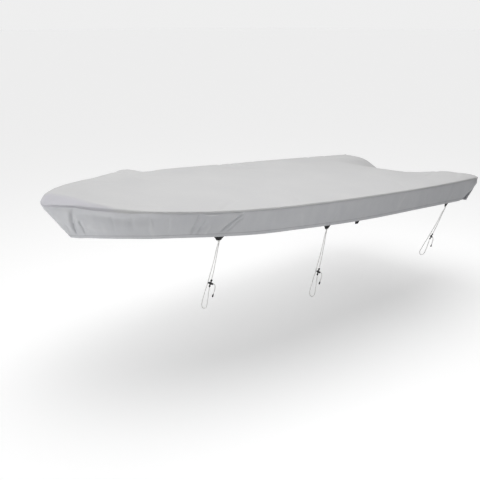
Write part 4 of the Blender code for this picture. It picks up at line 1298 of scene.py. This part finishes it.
for name, station, drop, loop, lean in TIES:

    low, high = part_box("knot_port_" + name)
    knot = (low + high) / 2
    reach = math.hypot(1, lean)
    down_line = Vector((0, lean, -1)) / reach
    out_line = Vector((0, -1, -lean)) / reach

    def place(aft, outboard, level):
        down = level * drop if level < 1 else drop + (level - 1) * (loop - drop)
        return knot + Vector((aft, -(outboard - lean * down), -down))

    middle = place(0.0, 0.0, 1.0)

    def on_tensioner(aft, down, out=0.0):
        return middle + Vector((aft, 0, 0)) + down_line * down + out_line * out

    # The knot: an overhand knot drawn tight under the tab's tip.
    turns = []
    for n in range(18):
        turn = 2 * math.pi * n / 18
        turns.append(knot + Vector((
            (math.sin(turn) + 2 * math.sin(2 * turn)) / 2.76 * (KNOT[0] / 2 - CORD * 0.47),
            -math.sin(3 * turn) * (KNOT[1] / 2 - CORD * 0.42),
            (math.cos(turn) - 2 * math.cos(2 * turn)) / 3.0 * (KNOT[2] / 2 - CORD * 0.42) + 0.0012)))
    knot_braid = bmesh.new()
    add_cord(knot_braid, turns, CORD * 0.47, closed=True)
    tie_piece("cord_knot_port_" + name, knot_braid, cord_material, "knot_port_" + name)

    # The cords.
    start = knot + Vector((0, 0, -(KNOT[2] / 2 + CLEAR)))
    apart = Vector((CORDS_APART, 0, 0))
    to_foot = on_tensioner(FOOT[0], FOOT[1] + FOOT[2] + CLEAR)
    to_eye = on_tensioner(EYE[0], EYE[1] - EYE[2] - CLEAR)
    reached = 1 + (BAR[2] + CLEAR) / math.hypot(BAR[0], BAR[1])
    bend = on_tensioner(*TAIL_BEND)
    routes = {
        "long": [start - apart] + [place(*row) for row in LONG_ROUTE] + [to_foot],
        "short": [start + apart] + [place(*row) for row in SHORT_ROUTE] + [to_eye],
        "tail": [on_tensioner(BAR[0] * reached, BAR[1] * reached), bend]
        + [bend + Vector((aft, -out, -down)) for aft, out, down in TAIL_ROUTE],
    }

    # The cap on the tail's end, a tapered moulding that is widest near its foot.
    tail = routes["tail"]
    hang = (tail[-1] - tail[-2]).normalized()
    cap_mould = bmesh.new()
    add_turned(cap_mould, CAP_PROFILE, tail[-1] + hang * CLEAR * 0.3, hang, sides=20)
    cap = tie_piece("cord_cap_port_" + name, cap_mould, plastic, "end_cap_port_" + name)

    for run, far_end, lay in (("long", "object", "taut"), ("short", "object", "taut"),
                              ("tail", "fitting", "hanging")):
        braid = bmesh.new()
        points, length = add_cord(braid, routes[run], CORD / 2)
        piece = tie_piece(run + "_braid_port_" + name, braid, cord_material,
                          run + "_cord_port_" + name)
        tuple(routes[run][0])
        [tuple(point) for point in points]

    # The tensioner: an eye, a ribbed cross bar and a ball foot, moulded in one.
    mould = bmesh.new()
    eye = bmesh.new()
    ring = bmesh.ops.create_circle(eye, segments=14, radius=EYE_ROD)["verts"]
    bmesh.ops.rotate(eye, verts=ring, cent=(0, 0, 0), matrix=Matrix.Rotation(math.pi / 2, 3, "X"))
    bmesh.ops.translate(eye, verts=ring, vec=(EYE[2] - EYE_ROD, 0, 0))
    bmesh.ops.spin(eye, geom=eye.verts[:] + eye.edges[:], cent=(0, 0, 0), axis=(0, 0, 1),
                   angle=2 * math.pi, steps=32, use_merge=True)
    bmesh.ops.remove_doubles(eye, verts=eye.verts, dist=0.00002)
    bmesh.ops.scale(eye, verts=eye.verts, vec=(1, 1, EYE_DEEP))
    aft_line = Vector((1, 0, 0))
    lie = Matrix((aft_line, out_line.cross(aft_line), out_line)).transposed().to_4x4()
    bmesh.ops.transform(eye, matrix=Matrix.Translation(on_tensioner(EYE[0], EYE[1])) @ lie,
                        verts=eye.verts)
    bmesh.ops.recalc_face_normals(eye, faces=eye.faces)
    join_form(mould, eye)
    bar_start, bar_end = on_tensioner(-BAR[0], -BAR[1]), on_tensioner(BAR[0], BAR[1])
    bar_length = (bar_end - bar_start).length
    bar_profile = rounded(bar_length, BAR[2])
    ribbed = bar_profile[:7]
    for n in range(1, 37):
        height = bar_length * n / 37
        groove = RIB[0] * max(0.0, math.sin(2 * math.pi * height / RIB[1])) ** 0.8
        if abs(height - bar_length / 2) <= RIB[2]:
            groove = 0.0
        ribbed.append((height, BAR[2] - 0.0004 - groove))
    ribbed += bar_profile[7:]
    pressed = TENSIONER_THICK / 2 / BAR[2]
    add_turned(mould, ribbed, bar_start, bar_end - bar_start, out_line, pressed, 26)
    neck_start, neck_end = on_tensioner(EYE[0], EYE[1] + 0.004), on_tensioner(FOOT[0], FOOT[1] - 0.003)
    neck_length = (neck_end - neck_start).length
    neck_profile = [(neck_length * n / 10, NECK * (0.92 + 0.22 * math.sin(math.pi * n / 10)))
                    for n in range(11)]
    add_turned(mould, neck_profile, neck_start, neck_end - neck_start, out_line, 0.85, 18)
    foot_at = on_tensioner(FOOT[0], FOOT[1])
    add_turned(mould, rounded(0.0, FOOT[2], 8), foot_at, down_line, out_line, 0.8, 24)
    collar_at = on_tensioner(FOOT[0], FOOT[1] + FOOT[2] - 0.0026)
    add_turned(mould, COLLAR_PROFILE, collar_at, down_line, sides=20)
    tie_piece("cord_tensioner_port_" + name, mould, plastic, "tensioner_port_" + name)
